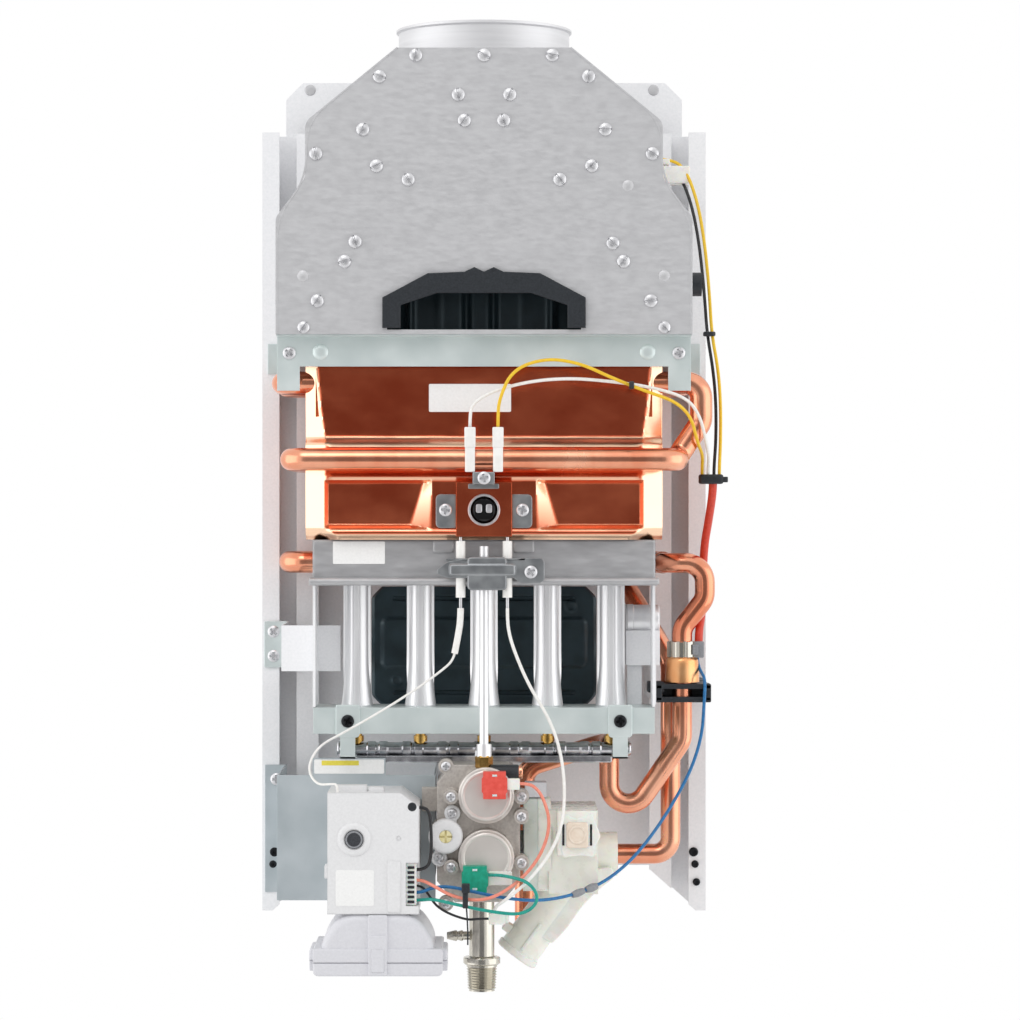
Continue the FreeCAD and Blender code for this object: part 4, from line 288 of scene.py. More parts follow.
# %% Sheet metal
finish("powder_coated_steel", ("F1F2F4", "F8F8FA"), 1.6, (0.4, 0.5), 0.0, 0.04, soft_mm=0.4)
finish("galvanised_steel", ("CACACC", "D1D1D3"), 7.0, (0.36, 0.46), 0.4, 0.01, (1, 1, 3), 8, 0.4,
       (110, 1.2))
finish("frame_zinc_steel", ("B4B4B6", "C4C4C6"), 16.0, (0.3, 0.4), 0.5, 0.03, (1, 1, 4), 6, 2.4, (60, 0.5))
finish("spun_aluminium", ("D9D9DB", "E2E2E4"), 30.0, (0.42, 0.52), 0.5, 0.01, (0.4, 0.4, 12))
finish("zinc_plated_steel", ("D2DDDC", "DDE6E5"), 22.0, (0.34, 0.44), 0.4, 0.02, soft_mm=0.6, wave=(60, 0.4))
finish("grey_zinc_steel", ("8E9194", "A3A6A8"), 9.0, (0.3, 0.42), 0.75, 0.03, soft_mm=0.8)
finish("blue_zinc_steel", ("BBC5C9", "C7CFD3"), 26.0, (0.35, 0.45), 0.45, 0.02, soft_mm=0.5, wave=(80, 0.4))
finish("drawn_steel_tube", ("F0F0F2", "FAFAFB"), 30.0, (0.3, 0.4), 0.6, 0.01, (6, 6, 0.3))
finish("manifold_steel", ("A2A2A6", "DBDBDE"), 9.0, (0.14, 0.26), 1.0, 0.02)
# On the draught baffle this dark colour is painted shade for the hood's inside; on the burner's rear shield
# it is the shield's own dark coat.
finish("dark_coat_and_painted_shade", ("26353B", "33444B"), 18.0, (0.28, 0.4), 0.35, 0.03, soft_mm=1.0, wave=(50, 0.3))
finish("screw_steel", ("CBCBCE", "DEDEE0"), 3.0, (0.3, 0.42), 0.75, 0.02)
finish("blackened_screw", ("1B1C1E", "2C2E31"), 2.0, (0.25, 0.4), 0.8, 0.02)
print("finishes:", len(materials))

# %% [markdown]
# Copper here is thin annealed sheet and tube. It keeps a soft shine with slow waves from the press and
# fine stains. It is deep red on the flats, and pale on every crease and facet that slants away from the
# front: that pale colour is a painted highlight for the side boxes' glare.
# Brass, nickel and die-cast aluminium follow.

# %% Copper, brass and castings
# The last two colours are a painted highlight: slanted faces are painted pale cream and sideways faces a
# lighter copper.
finish("pressed_copper", ("CB5A3A", "DE7450"), 34.0, (0.16, 0.27), 1.0, 0.06, (1, 1, 1.6), 6, 0.8,
       (34, 1.8), ("FFD8B8", "D98A68"))
finish("copper_tube", ("E38B69", "F8B797"), 30.0, (0.16, 0.3), 1.0, 0.04, (1, 1, 0.5), 4, 0.0, (26, 0.35))
finish("golden_copper", ("EFA56A", "F8BE88"), 14.0, (0.22, 0.36), 1.0, 0.04, wave=(16, 0.3))
finish("turned_brass", ("A98343", "C9A765"), 8.0, (0.2, 0.3), 1.0, 0.02)
finish("cast_aluminium", ("BFB8B2", "D2CCC5"), 1.8, (0.42, 0.55), 0.6, 0.07, soft_mm=1.6, wave=(24, 0.3))
finish("stamped_aluminium", ("DAD3CD", "E5DFDA"), 30.0, (0.32, 0.44), 0.55, 0.02, soft_mm=0.5)
finish("nickel_plate", ("BDB9AE", "D3CFC5"), 12.0, (0.14, 0.24), 1.0, 0.02, (1, 1, 0.4))
print("finishes:", len(materials))

# %% [markdown]
# Mouldings are ABS, nylon and polyester with a fine spark-eroded grain, which keeps their highlights
# broad and dull. The water valve is natural glass-filled polyamide, a little see-through, so it scatters
# light under its surface. Glazed ceramic and the sight glass are smooth and give sharp highlights; paper
# and rubber give none. The sight glass is near black, and that colour is painted shade for the unlit
# chamber behind it.

# %% Mouldings, ceramic, rubber and paper
MILKY = {"Subsurface Weight": 0.3, "Subsurface Scale": 0.004}
finish("black_nylon", ("1B1F24", "282D33"), 1.2, (0.4, 0.52), 0.0, 0.03, soft_mm=1.2)
finish("white_abs", ("E3E3E4", "E9E9EA"), 1.6, (0.36, 0.44), 0.0, 0.008, soft_mm=1.6)
finish("lilac_grey_abs", ("D8D8DD", "DEDEE3"), 1.6, (0.36, 0.44), 0.0, 0.008, soft_mm=0.8)
finish("mid_grey_abs", ("83858A", "95979B"), 1.0, (0.4, 0.5), 0.0, 0.02, soft_mm=0.4)
finish("dark_button_rubber", ("2B2D31", "3F4247"), 1.0, (0.45, 0.6), 0.0, 0.02, soft_mm=0.6)
finish("natural_polyamide", ("EEEEE4", "F6F5EC"), 9.0, (0.24, 0.34), 0.0, 0.02, soft_mm=1.6, settings=MILKY)
finish("milky_polyamide", ("EDECE5", "F6F5F0"), 9.0, (0.22, 0.32), 0.0, 0.02, soft_mm=1.0, settings=MILKY)
finish("green_tinted_polyamide", ("D2DAD2", "E0E6DF"), 14.0, (0.26, 0.36), 0.0, 0.02, soft_mm=1.6,
       settings={**MILKY, "Subsurface Weight": 0.2})
finish("beige_nylon", ("E8D6C3", "F0E2D2"), 3.0, (0.35, 0.45), 0.0, 0.02, soft_mm=0.6)
finish("ivory_nylon", ("E9DDA0", "F1E8BC"), 3.0, (0.35, 0.45), 0.0, 0.02, soft_mm=0.4)
finish("red_polyester", ("E04A3E", "EC5E52"), 3.0, (0.3, 0.4), 0.0, 0.02, soft_mm=0.8)
finish("green_polyester", ("0A9274", "14A889"), 3.0, (0.3, 0.4), 0.0, 0.02, soft_mm=0.8)
finish("glazed_ceramic", ("F0EEEA", "FBFAF7"), 6.0, (0.12, 0.2), 0.0, 0.01, soft_mm=0.5)
finish("copper_laminate", ("1F5A38", "2A6B45"), 2.0, (0.35, 0.45), 0.0, 0.02)
finish("cell_jacket", ("4A4B4F", "5A5B60"), 4.0, (0.3, 0.4), 0.3, 0.01)
finish("label_paper", ("F1F1F0", "F7F7F6"), 1.5, (0.45, 0.55), 0.0, 0.005)
finish("yellow_paper", ("E6D648", "EFE05A"), 1.5, (0.45, 0.55), 0.0, 0.005)
# Near black: painted shade for the unlit chamber behind the sight glass.
finish("glass_over_painted_shade", ("08090A", "101214"), 9.0, (0.03, 0.07))
finish("black_rubber", ("202226", "2E3136"), 1.4, (0.3, 0.42), 0.0, 0.03)
print("finishes:", len(materials))

# %% [markdown]
# The CAD nodes whose shape is right get their finish here. They keep their place and their mesh, so
# only their material slots are filled.

# %% Dress the CAD nodes
dress("powder_coated_steel", "back_panel", "side_rail_left", "side_rail_right", "burner_bracket_left",
      "burner_bracket_right")
dress("galvanised_steel", "hood_front_plate", "hood_shell")
dress("frame_zinc_steel", "burner_frame")
dress("spun_aluminium", "flue_collar")
dress("zinc_plated_steel", "cross_rail", "manifold_rail")
dress("blue_zinc_steel", "mounting_plate")
# The baffle's dark colour is painted shade.
dress("dark_coat_and_painted_shade", "draught_baffle")
dress("black_nylon", "opening_trim", "spill_sensor", "solenoid_coils")
dress("pressed_copper", "sight_plate", "fin_pack")
dress("copper_tube", "water_coil", "wrap_tube", "hot_pipe", "cold_pipe")
dress("screw_steel", "electrode_pins", "battery_contacts", "poppet_spring", "burner_bars")
dress("drawn_steel_tube", "pilot_tube")
dress("glazed_ceramic", "electrode_insulators")
dress("turned_brass", "injectors", "push_rod", "gas_poppet")
dress("cast_aluminium", "gas_valve_body")
dress("stamped_aluminium", "pilot_plunger", "main_plunger")
dress("white_abs", "control_box")
dress("lilac_grey_abs", "microswitch")
dress("dark_button_rubber", "start_button")
dress("natural_polyamide", "water_valve_body")
dress("green_tinted_polyamide", "water_valve_cover")
dress("ivory_nylon", "adjuster_spindle")
dress("copper_laminate", "circuit_board")
dress("cell_jacket", "batteries")


# %% [markdown]
# ## Shapes
# Places are written as X, distance out of the wall, and Z, in millimetres. A shape is a pair: its
# points, and its faces as arrays of point numbers. Three ways make nearly all of them: an outline
# carried along an axis, a profile turned round one, and a grid whose height is a formula.

# %% Grids and outlines
LARGEST_CUT = 0.46


def grid(points):
    """Quads over a grid of points: each joins (r, c), (r+1, c), (r+1, c+1) and (r, c+1)."""
    rows, columns = points.shape[:2]
    index = np.arange(rows * columns).reshape(rows, columns)
    quads = np.stack([index[:-1, :-1], index[1:, :-1], index[1:, 1:], index[:-1, 1:]], axis=-1)
    return points.reshape(-1, 3), [quads.reshape(-1, 4)]


def sheet(front, back_by):
    """A closed sheet: a grid, its copy moved by a vector, and the four strips between their edges."""
    back = front + np.array(back_by, float)
    strips = [np.stack([front[0], back[0]]), np.stack([front[-1], back[-1]]),
              np.stack([front[:, 0], back[:, 0]]), np.stack([front[:, -1], back[:, -1]])]
    return join([grid(part) for part in (front, back, *strips)])


def join(shapes):
    """Several shapes as one: each one's point numbers move up by the points before it."""
    starts = np.cumsum([0] + [len(points) for points, _ in shapes])
    faces = [array + start for (_, arrays), start in zip(shapes, starts) for array in arrays]
    return np.concatenate([points for points, _ in shapes]), faces


def rounded(corners, cut, steps=4):
    """Each corner P becomes the curve (1-t)^2 A + 2t(1-t) P + t^2 B, A and B a cut away from it.

    A cut takes no more than LARGEST_CUT of the side it lies on, so that two cuts never meet.
    """
    corners = np.array(corners, float)
    cut = np.broadcast_to(np.array(cut, float), (len(corners),))[:, None]
    back = np.roll(corners, 1, axis=0) - corners
    ahead = np.roll(corners, -1, axis=0) - corners
    long_back = np.linalg.norm(back, axis=1, keepdims=True)
    long_ahead = np.linalg.norm(ahead, axis=1, keepdims=True)
    start = corners + back / long_back * np.minimum(cut, LARGEST_CUT * long_back)
    end = corners + ahead / long_ahead * np.minimum(cut, LARGEST_CUT * long_ahead)
    t = np.linspace(0, 1, steps + 1)[:, None, None]
    curve = (1 - t) ** 2 * start + 2 * t * (1 - t) * corners + t ** 2 * end
    points = curve.transpose(1, 0, 2).reshape(-1, 2)
    apart = np.linalg.norm(points - np.roll(points, 1, axis=0), axis=1) > 1e-4
    return points[apart]


def rect(across, up):
    """The four corners of a rectangle, counterclockwise."""
    return [(across[0], up[0]), (across[1], up[0]), (across[1], up[1]), (across[0], up[1])]


def circle(centre, radius, steps=24):
    """Points on a circle: c + r (cos t, sin t)."""
    turn = np.linspace(0, 2 * np.pi, steps, endpoint=False)
    return np.array(centre) + radius * np.stack([np.cos(turn), np.sin(turn)], axis=1)


def mirror(shape, axis=0):
    """A shape with one coordinate's sign changed."""
    points, faces = shape
    flip = np.ones(3)
    flip[axis] = -1
    return points * flip, faces


def stand(flat, depth, axis):
    """Two coordinates and a depth put together as X, out, Z, with the depth on the given axis."""
    parts = [flat[..., 0], flat[..., 1]]
    parts.insert(axis, np.broadcast_to(depth, flat.shape[:-1]))
    return np.stack(parts, axis=-1)


# %% [markdown]
# A moulded or stamped piece has a soft rim. A rim could be a Bevel modifier, but on thin outlines that
# runs over itself, so here each ring of the prism is the outline moved in by a quarter circle's formula,
# and never by more than the outline has room for.

# %% Prisms
# In mm: rings this far past a rim's two ends keep the flat faces flat, and a smaller rim is left out.
HOLD = 0.15
RIM_LEAST = 0.05
INSET_SHARE = 0.9


def inset(outline, by):
    """An outline moved inward: each point goes against 2 n / |n|^2, n the sum of its edges' normals."""
    edge = np.roll(outline, -1, axis=0) - outline
    edge = edge / np.linalg.norm(edge, axis=1, keepdims=True)
    normal = np.stack([edge[:, 1], -edge[:, 0]], axis=1)
    both = normal + np.roll(normal, 1, axis=0)
    return outline - by * 2 * both / np.sum(both ** 2, axis=1, keepdims=True)


def widest_inset(outline):
    """A share of the way an outline can move in before an edge ends: the least L / (tan a/2 + tan b/2)."""
    edge = np.roll(outline, -1, axis=0) - outline
    length = np.linalg.norm(edge, axis=1)
    angle = np.arctan2(edge[:, 1], edge[:, 0])
    turn = (angle - np.roll(angle, 1) + np.pi) % (2 * np.pi) - np.pi
    shrink = np.tan(turn / 2) + np.tan(np.roll(turn, -1) / 2)
    return INSET_SHARE * np.min(np.where(shrink > 1e-6, length / np.maximum(shrink, 1e-6), np.inf))


def prism(outline, depth, soft=0.0, axis=1, soft_near=0.0, steps=3):
    """An outline carried along an axis; a rim of radius s is inset s (1 - cos a) at s (1 - sin a)."""
    outline = np.array(outline, float)
    ahead = np.roll(outline, -1, axis=0)
    if np.sum(outline[:, 0] * ahead[:, 1] - outline[:, 1] * ahead[:, 0]) < 0:
        outline = outline[::-1]
    near, far = depth
    way = np.sign(far - near)
    turn = np.linspace(0, np.pi / 2, steps + 1)
    room = widest_inset(outline) - HOLD
    rows = []
    for end, side, radius in ((near, way, min(soft_near, room)), (far, -way, min(soft, room))):
        rim = [(0, end)]
        if radius > RIM_LEAST:
            rim = [(0, end + side * (radius + HOLD))]
            rim += [(radius * (1 - np.cos(a)), end + side * radius * (1 - np.sin(a))) for a in turn]
            rim += [(radius + HOLD, end)]
        rows += rim if end == far else rim[::-1]
    rings = np.stack([inset(outline, by) for by, _ in rows])
    rings = np.concatenate([rings, rings[:, :1]], axis=1)
    points, faces = grid(stand(rings, np.array([where for _, where in rows])[:, None], axis))
    count = len(outline)
    caps = [np.arange(count)[None, ::-1], np.arange(count)[None] + (len(rows) - 1) * (count + 1)]
    return points, faces + caps


def block(across, up, cut, depth, soft=0.0, axis=1, soft_near=0.0):
    """A prism whose outline is a rectangle with rounded corners."""
    return prism(rounded(rect(across, up), cut), depth, soft, axis, soft_near)


# %% [markdown]
# Round pieces are a profile turned round an axis, as on a lathe. A strip or tube is a section carried
# along its path, with the section's sides kept square to the path's way.

# %% Turned shapes and bars
def turned(profile, centre, axis=2, steps=32, rib=0.0):
    """A profile of (radius, place) rows turned: u = cu + r cos t, v = cv + r sin t, r plus a rib(t)."""
    radius, along = np.array(profile, float).T
    turn = np.linspace(0, 2 * np.pi, steps + 1)
    radius = radius[:, None] + rib
    flat = np.stack([radius * np.cos(turn), radius * np.sin(turn)], axis=-1) + np.array(centre, float)
    return grid(stand(flat, along[:, None], axis))


def bar(path_points, section, up=(0, 1, 0)):
    """A section carried along a path: P + a s + b (s x w), w the path's way and s = w x up."""
    spine = np.array(path_points, float)
    way = np.gradient(spine, axis=0)
    way = way / np.linalg.norm(way, axis=1, keepdims=True)
    side = np.cross(way, up)
    side = side / np.linalg.norm(side, axis=1, keepdims=True)
    rise = np.cross(side, way)
    ring = np.array(section, float)
    ring = np.concatenate([ring, ring[:1]])
    points = spine[:, None] + ring[None, :, :1] * side[:, None] + ring[None, :, 1:] * rise[:, None]
    shape, faces = grid(points)
    count = len(section)
    caps = [np.arange(count)[None], np.arange(count)[None, ::-1] + (len(spine) - 1) * (count + 1)]
    return shape, faces + caps


def tilted(shape, degrees, origin):
    """A shape turned in the wall's plane about the origin, then moved: X' = X cos a + Z sin a."""
    points, faces = shape
    angle = np.radians(degrees)
    x, out, z = points.T
    spun = np.stack([x * np.cos(angle) + z * np.sin(angle), out,
                     z * np.cos(angle) - x * np.sin(angle)], axis=1)
    return spun + np.array(origin, float), faces


def ramp(value, low, high):
    """0 below one value, 1 above another, and 3t^2 - 2t^3 between them."""
    t = np.clip((value - low) / (high - low), 0, 1)
    return t * t * (3 - 2 * t)


# %% [markdown]
# Every shape becomes a mesh in the same way: its seams and poles are merged, and its faces turned
# outward. A piece then gets its finish, hides the CAD nodes that it stands for and follows the body that
# it moves with.

# %% Pieces
# In metres: points nearer than the first become one, and edges shorter than the second are dissolved.
WELD = 1e-6
SLIVER = 1e-7


def closed_mesh(name, shape):
    """A mesh from a shape in mm: y = -out, doubles merged, no slivers, faces turned outward."""
    points, faces = shape
    mesh = bpy.data.meshes.new(name)
    mesh.from_pydata(np.stack([points[:, 0], -points[:, 1], points[:, 2]], axis=1) * MM, [],
                     [face for array in faces for face in array.tolist()])
    work = bmesh.new()
    work.from_mesh(mesh)
    bmesh.ops.remove_doubles(work, verts=work.verts, dist=WELD)
    bmesh.ops.dissolve_degenerate(work, edges=work.edges, dist=SLIVER)
    bmesh.ops.recalc_face_normals(work, faces=work.faces)
    work.to_mesh(mesh)
    work.free()
    return mesh


def piece(name, shapes, material_name, slot, *nodes, body=HEATER, sharp=32.0):
    """One object from shapes in mm, smooth but for the edges sharper than an angle in degrees."""
    mesh = closed_mesh(name, join(shapes))
    mesh.shade_smooth()
    mesh.set_sharp_from_angle(angle=np.radians(sharp))
    mesh.materials.append(materials[material_name])
    thing = add_object(name, mesh)
    if nodes:
        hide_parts(*nodes)
    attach(thing, body)
    print(name, len(mesh.polygons), "faces")
    return thing


# %% [markdown]
# The battery box is hollow, because its lid opens and shows the inside. A shell with a wall could be
# modelled ring by ring, but an exact Boolean with the cavity's own shape is shorter and stays closed.

# %% Cavities
def hollowed(thing, shape):
    """Takes a shape in mm out of a piece with an exact Boolean, and keeps the result as its mesh."""
    cutter = add_object("cavity", closed_mesh("cavity", shape))
    cut = thing.modifiers.new("cavity", "BOOLEAN")
    cut.operation = "DIFFERENCE"
    cut.object = cutter
    bpy.context.view_layer.update()
    result = bpy.data.meshes.new_from_object(thing.evaluated_get(bpy.context.evaluated_depsgraph_get()))
    thing.modifiers.clear()
    thing.data = result
    bpy.data.objects.remove(cutter)
    print(thing.name, "hollowed:", len(result.polygons), "faces")


# %% [markdown]
# ## Heat exchanger jacket
# The jacket is one sheet of copper, pressed so that it stays stiff when hot: a set-back upper panel,
# two beads beside the wrap tube, and two pans beside the sight hole. Its corners are broad facets. A
# formula for the depth of each press, on one grid, keeps all the creases soft where they meet.

# %% Jacket front
JACKET_HALF = 119
JACKET_OUT = 158
JACKET_REAR = 42
JACKET_TOP = -156
JACKET_FOOT = -291.8
JACKET_GRID = (131, 201)
PRESS = 6.0
FACET_SLOPE = 0.8


def facet_width(z):
    """How broad the corner facet is at a height, in mm."""
    return np.interp(z, [-291.8, -284, -252, -226, -205, -172, -156], [23, 15.5, 14, 14, 11, 8, 6])


def jacket_out(x, z):
    """Distance out = flat face - facets - upper panel - pans + beads - turned-in foot."""
    side = np.abs(x)
    facet = np.clip(side - (JACKET_HALF - facet_width(z)), 0, None) * FACET_SLOPE
    upper = PRESS * ramp(z, -229.5, -222.5)
    inner = np.interp(z, [-284, -253], [50, 40])
    broad = np.interp(z, [-284, -253], [15, 5.5])
    pan = np.minimum(np.clip((side - inner + broad) / broad, 0, 1), 1 - ramp(side, 103.5, 106))
    pan = PRESS * np.minimum(np.minimum(pan, 1 - ramp(z, -254.5, -252)), ramp(z, -285, -281.5))
    beads = 1.3 * np.exp(-((z + 230.4) / 1.4) ** 2) + 1.6 * np.exp(-((z + 250) / 1.7) ** 2)
    beads = (beads + 1.2 * np.exp(-((z + 287) / 1.8) ** 2)) * (1 - ramp(side, 100, 108))
    foot = 3.0 * ramp(-z, 288.5, 291.8)
    return JACKET_OUT - facet - upper - pan + beads - foot


heights = np.linspace(JACKET_FOOT, JACKET_TOP, JACKET_GRID[0])
columns = np.linspace(-JACKET_HALF, JACKET_HALF, JACKET_GRID[1])
x, z = np.meshgrid(columns, heights)
jacket_front = np.stack([x, jacket_out(x, z), z], axis=-1)
across = np.linspace(0, 1, 3)[None, :]
rim = jacket_out(JACKET_HALF + 0 * heights, heights)[:, None]
wall = np.stack([np.full((len(heights), 3), JACKET_HALF), JACKET_REAR + (rim - JACKET_REAR) * across,
                 np.repeat(heights[:, None], 3, axis=1)], axis=-1)
side_wall = sheet(wall, (-1, 0, 0))
rear_wall = prism(rect((-JACKET_HALF, JACKET_HALF), (JACKET_FOOT, JACKET_TOP)),
                  (JACKET_REAR, JACKET_REAR + 1))
piece("exchanger_jacket", [sheet(jacket_front, (0, -1, 0)), side_wall, mirror(side_wall), rear_wall],
      "pressed_copper", "copper", "exchanger_shell")
print("jacket depth from", jacket_front[..., 1].min().round(1), "to", jacket_front[..., 1].max().round(1))

# %% [markdown]
# The sight hole has a steel rim and a heat-proof glass, coloured near black as painted shade for the
# chamber behind it. Two grey steel tabs and a small bent clip hold the sight box, and two white ceramic
# sleeves carry the ignition and flame leads up from it.

# %% Sight glass, tabs and ceramics
SIGHT = (0, -272)
SLEEVE_X = 9.2
glass = turned([(0, 157.6), (9.2, 157.6), (9.2, 159.2), (8.4, 159.6), (0, 160)], SIGHT, 1)
# The glass's near-black colour is painted shade for the dark chamber behind it.
piece("sight_glass", [glass], "glass_over_painted_shade", "ceramic")
rim = turned([(9.0, 162.6), (9.0, 163.6), (9.4, 164.1), (10.2, 164.1), (10.7, 163.5), (10.7, 162.6),
              (9.0, 162.6)], SIGHT, 1, 40)
piece("sight_rim", [rim], "screw_steel", "zinc_passivated")
electrode_tips = [block((low, high), (-274, -268), 1.5, (159.5, 162), 0.8)
                  for low, high in ((-5.5, -1.2), (1.2, 5.5))]
piece("electrode_tips", electrode_tips, "screw_steel", "stainless")
tab = block((18.5, 32), (-284, -261.5), [0, 3.5, 3.5, 0], (158, 159.6), 0.5)
clip = [block((-7.5, 7), (-255, -247), 1.2, (180.2, 182), 0.5),
        prism(rect((-7.5, -6.3), (-255, -247)), (163, 180.4)),
        prism(rect((5.8, 7), (-255, -247)), (163, 180.4)),
        block((-10.5, 10), (-258, -254.5), 1, (163, 164.4), 0.4)]
piece("sight_tabs_and_clip", [tab, mirror(tab), *clip], "grey_zinc_steel", "zinc_passivated", "sight_tabs")
sleeves = [block((side * SLEEVE_X - half, side * SLEEVE_X + half), out, 1.2, (low, -217.5), 0.8, 2, 0.8)
           for half, out, low in ((3.3, (174.7, 181.3), -247), (3.7, (174.4, 181.7), -231))
           for side in (-1, 1)]
piece("ceramic_sleeves", sleeves, "glazed_ceramic", "ceramic", "upper_leads")

# %% [markdown]
# ## Burner
# Each mixing tube is rolled from sheet steel: a flat fillet runs up its front, folded seams stand out
# at its sides, and its foot is belled round the gas jet. Turning a profile with a rib that depends on
# the angle gives all of that in one surface.

# %% Mixing tubes
BURNER_PITCH = 42.8
GAS_OUT = 118
TUBE_STEPS = 96
TUBE_MIDDLE_R = 8
tube_profile = [(10.2, -404), (10.6, -403.4), (10.4, -402), (9.6, -396), (8.9, -389), (8.3, -381),
                (8.05, -374), (7.95, -366), (7.9, -345), (7.9, -321), (7.1, -321), (7.1, -366),
                (8.1, -389), (9.6, -402), (10.2, -404)]
turn = np.linspace(0, 2 * np.pi, TUBE_STEPS + 1)
from_front = np.abs((turn - np.pi / 2 + np.pi) % (2 * np.pi) - np.pi) * TUBE_MIDDLE_R
from_side = np.abs((turn + np.pi / 2) % np.pi - np.pi / 2) * TUBE_MIDDLE_R
outside = np.array([1] * 10 + [0] * 5)[:, None]
straight = ramp(np.array([place for _, place in tube_profile]), -392, -376)[:, None]
rib = outside * (0.55 * (1 - ramp(from_front, 1.7, 2.2)) - 0.5 * np.exp(-((from_front - 2.6) / 0.35) ** 2)
                 + straight * 1.3 * (1 - ramp(from_side, 0.5, 1.0)))
tubes = [turned(tube_profile, (index * BURNER_PITCH, GAS_OUT), 2, TUBE_STEPS, rib) for index in range(-2, 3)]
piece("mixing_tubes_rolled", tubes, "drawn_steel_tube", "stainless", "mixing_tubes")

# %% [markdown]
# The dark plate behind the tubes keeps the burner's heat from the wall. Its raised field, the slots
# above and below and two round bosses are pressed, so again one grid carries them all.

# %% Rear shield
SHIELD_TOP, SHIELD_FOOT, SHIELD_HALF, SHIELD_OUT = -324.8, -407.0, 77.5, 63.2


def field_distance(x, z, centre, half, radius):
    """Distance outside a rounded rectangle: |max(|p| - half + r, 0)| - r."""
    away = np.stack([np.abs(x - centre[0]) - half[0] + radius, np.abs(z - centre[1]) - half[1] + radius])
    return np.linalg.norm(np.maximum(away, 0), axis=0) + np.minimum(away.max(axis=0), 0) - radius


u, z = np.meshgrid(np.linspace(-1, 1, 161), np.linspace(SHIELD_FOOT, SHIELD_TOP, 101))
bevel = 9 * (1 - ramp(z, SHIELD_FOOT - 4, SHIELD_FOOT + 9)) + 9 * ramp(z, SHIELD_TOP - 9, SHIELD_TOP + 4)
x = u * (SHIELD_HALF - bevel)
out = SHIELD_OUT + 2.6 * (1 - ramp(field_distance(x, z, (0, -363.5), (71, 17.5), 5), -2, 0.6))
for slot_z in (-333, -398):
    out -= 1.6 * (1 - ramp(field_distance(x, z, (0, slot_z), (62, 1.3), 1.2), -0.3, 0.5))
for boss in ((-60, -389.3), (60, -338.3)):
    out += 0.9 * np.exp(-((np.hypot(x - boss[0], z - boss[1]) - 3.2) / 0.8) ** 2)
out -= 2.0 * ramp(np.maximum(np.abs(u) * SHIELD_HALF - SHIELD_HALF + 2, 0), 0, 2)
arm = prism(rect((65.5, 66.5), (-387, -345)), (1, 62))
piece("pressed_shield", [sheet(np.stack([x, out, z], axis=-1), (0, -1.2, 0)), arm, mirror(arm)],
      "dark_coat_and_painted_shade", "dark_enamel", "burner_shield")

# %% [markdown]
# The electrode bracket is a bent steel strip with a stiffening ridge and a tongue that clamps the two
# insulators and the pilot tube. Small parts of bent strip are outlines carried out from the wall,
# because at this size a bend reads as a soft edge.

# %% Electrode bracket and pilot nut
bracket = [prism(rounded([(-31, -311), (-24, -306), (-14, -304.4), (22, -304.4), (25, -303.7), (38, -303.7),
                          (40, -306), (40, -318), (37, -320.5), (24, -320.5), (20, -317), (-24, -317),
                          (-31, -314)], 1.0), (164.6, 166), 0.4),
           block((-23, 21), (-315.6, -307.4), 2.5, (165.5, 168.6), 1.6),
           block((-11, 15), (-325, -303), 3, (165.8, 168), 1.0),
           prism(rect((-25, 27), (-305.2, -304)), (150, 166))]
piece("electrode_bracket_bent", bracket, "grey_zinc_steel", "zinc_passivated", "electrode_bracket")
pads = [block((low, low + 14), (-300.5, -291.8), [2, 2, 0, 0], (150.1, 151.3), 0.4)
        for low in (-34, 19.5)]
lip = [prism(circle((152.4, -319.6), 2.6, 16), (-116.5, 116.5), 0.8, 0, 0.8)]
piece("frame_pads_and_lip", pads + lip, "frame_zinc_steel", "galvanised_sheet")
nut = turned([(0, -443), (5.2, -443), (5.9, -442), (5.9, -435.5), (5.2, -434.5), (4.2, -434.5), (4.2, -430),
              (0, -430)], (0, 161.4), 2, 6)
piece("pilot_nut", [nut], "turned_brass", "brass", sharp=20)

# %% [markdown]
# ## Manifold
# The gas tube under the burner is a bar of short steel sleeves between swaged joints, brighter on the
# sleeves and dark at each joint, with a flat bar along its lower side. One turned profile, whose radius
# is a formula of the distance to the nearest joint, draws all the sleeves and joints at once.

# %% Manifold tube
MANIFOLD_Z = -433
TUBE_HALF = 99
joints = np.arange(-96, 97, 24)
places = np.linspace(-TUBE_HALF + 1, TUBE_HALF - 1, 199)
near = np.min(np.abs(places[:, None] - joints[None]), axis=1)
radii = 4.4 + 0.7 * (1 - ramp(near, 6.5, 7.2)) - 0.9 * (1 - ramp(near, 0.6, 1.2))
tube = turned([(0, -TUBE_HALF), (4.2, -TUBE_HALF), *zip(radii, places), (4.2, TUBE_HALF), (0, TUBE_HALF)],
              (GAS_OUT, MANIFOLD_Z), 0, 24)
rail = block((-86, 86), (-442, -437.2), 1.2, (112, 123), 1.2)
neck = turned([(0, -442), (7, -442), (7, -434), (0, -434)], (-1, GAS_OUT), 2, 24)
plates = []
for side in (-1, 1):
    neck_x = sorted((side * 86, side * 96))
    plates += [block(sorted((side * 83, side * 99)), (-424, -402), [3, 3, 1, 1], (141, 142.4), 0.4),
               prism(rect(neck_x, (-438, -423)), (138.5, 142)),
               prism(rect(neck_x, (-438, -436.8)), (GAS_OUT, 142))]
piece("manifold_sleeves", [tube, rail, neck], "manifold_steel", "stainless", "manifold_tube")
piece("manifold_end_plates", plates, "zinc_plated_steel", "zinc_passivated", "manifold_tube")


# %% [markdown]
# ## Screws
# Heads are cold formed and zinc plated: those of the hood have a single slot, the rest a cross. A dome
# with grooves that are a formula of the distance from the slot's line takes each plain CAD head's place.
# A Boolean with a bar could cut the grooves too, but its edges are hard, and a stamped groove's are soft.

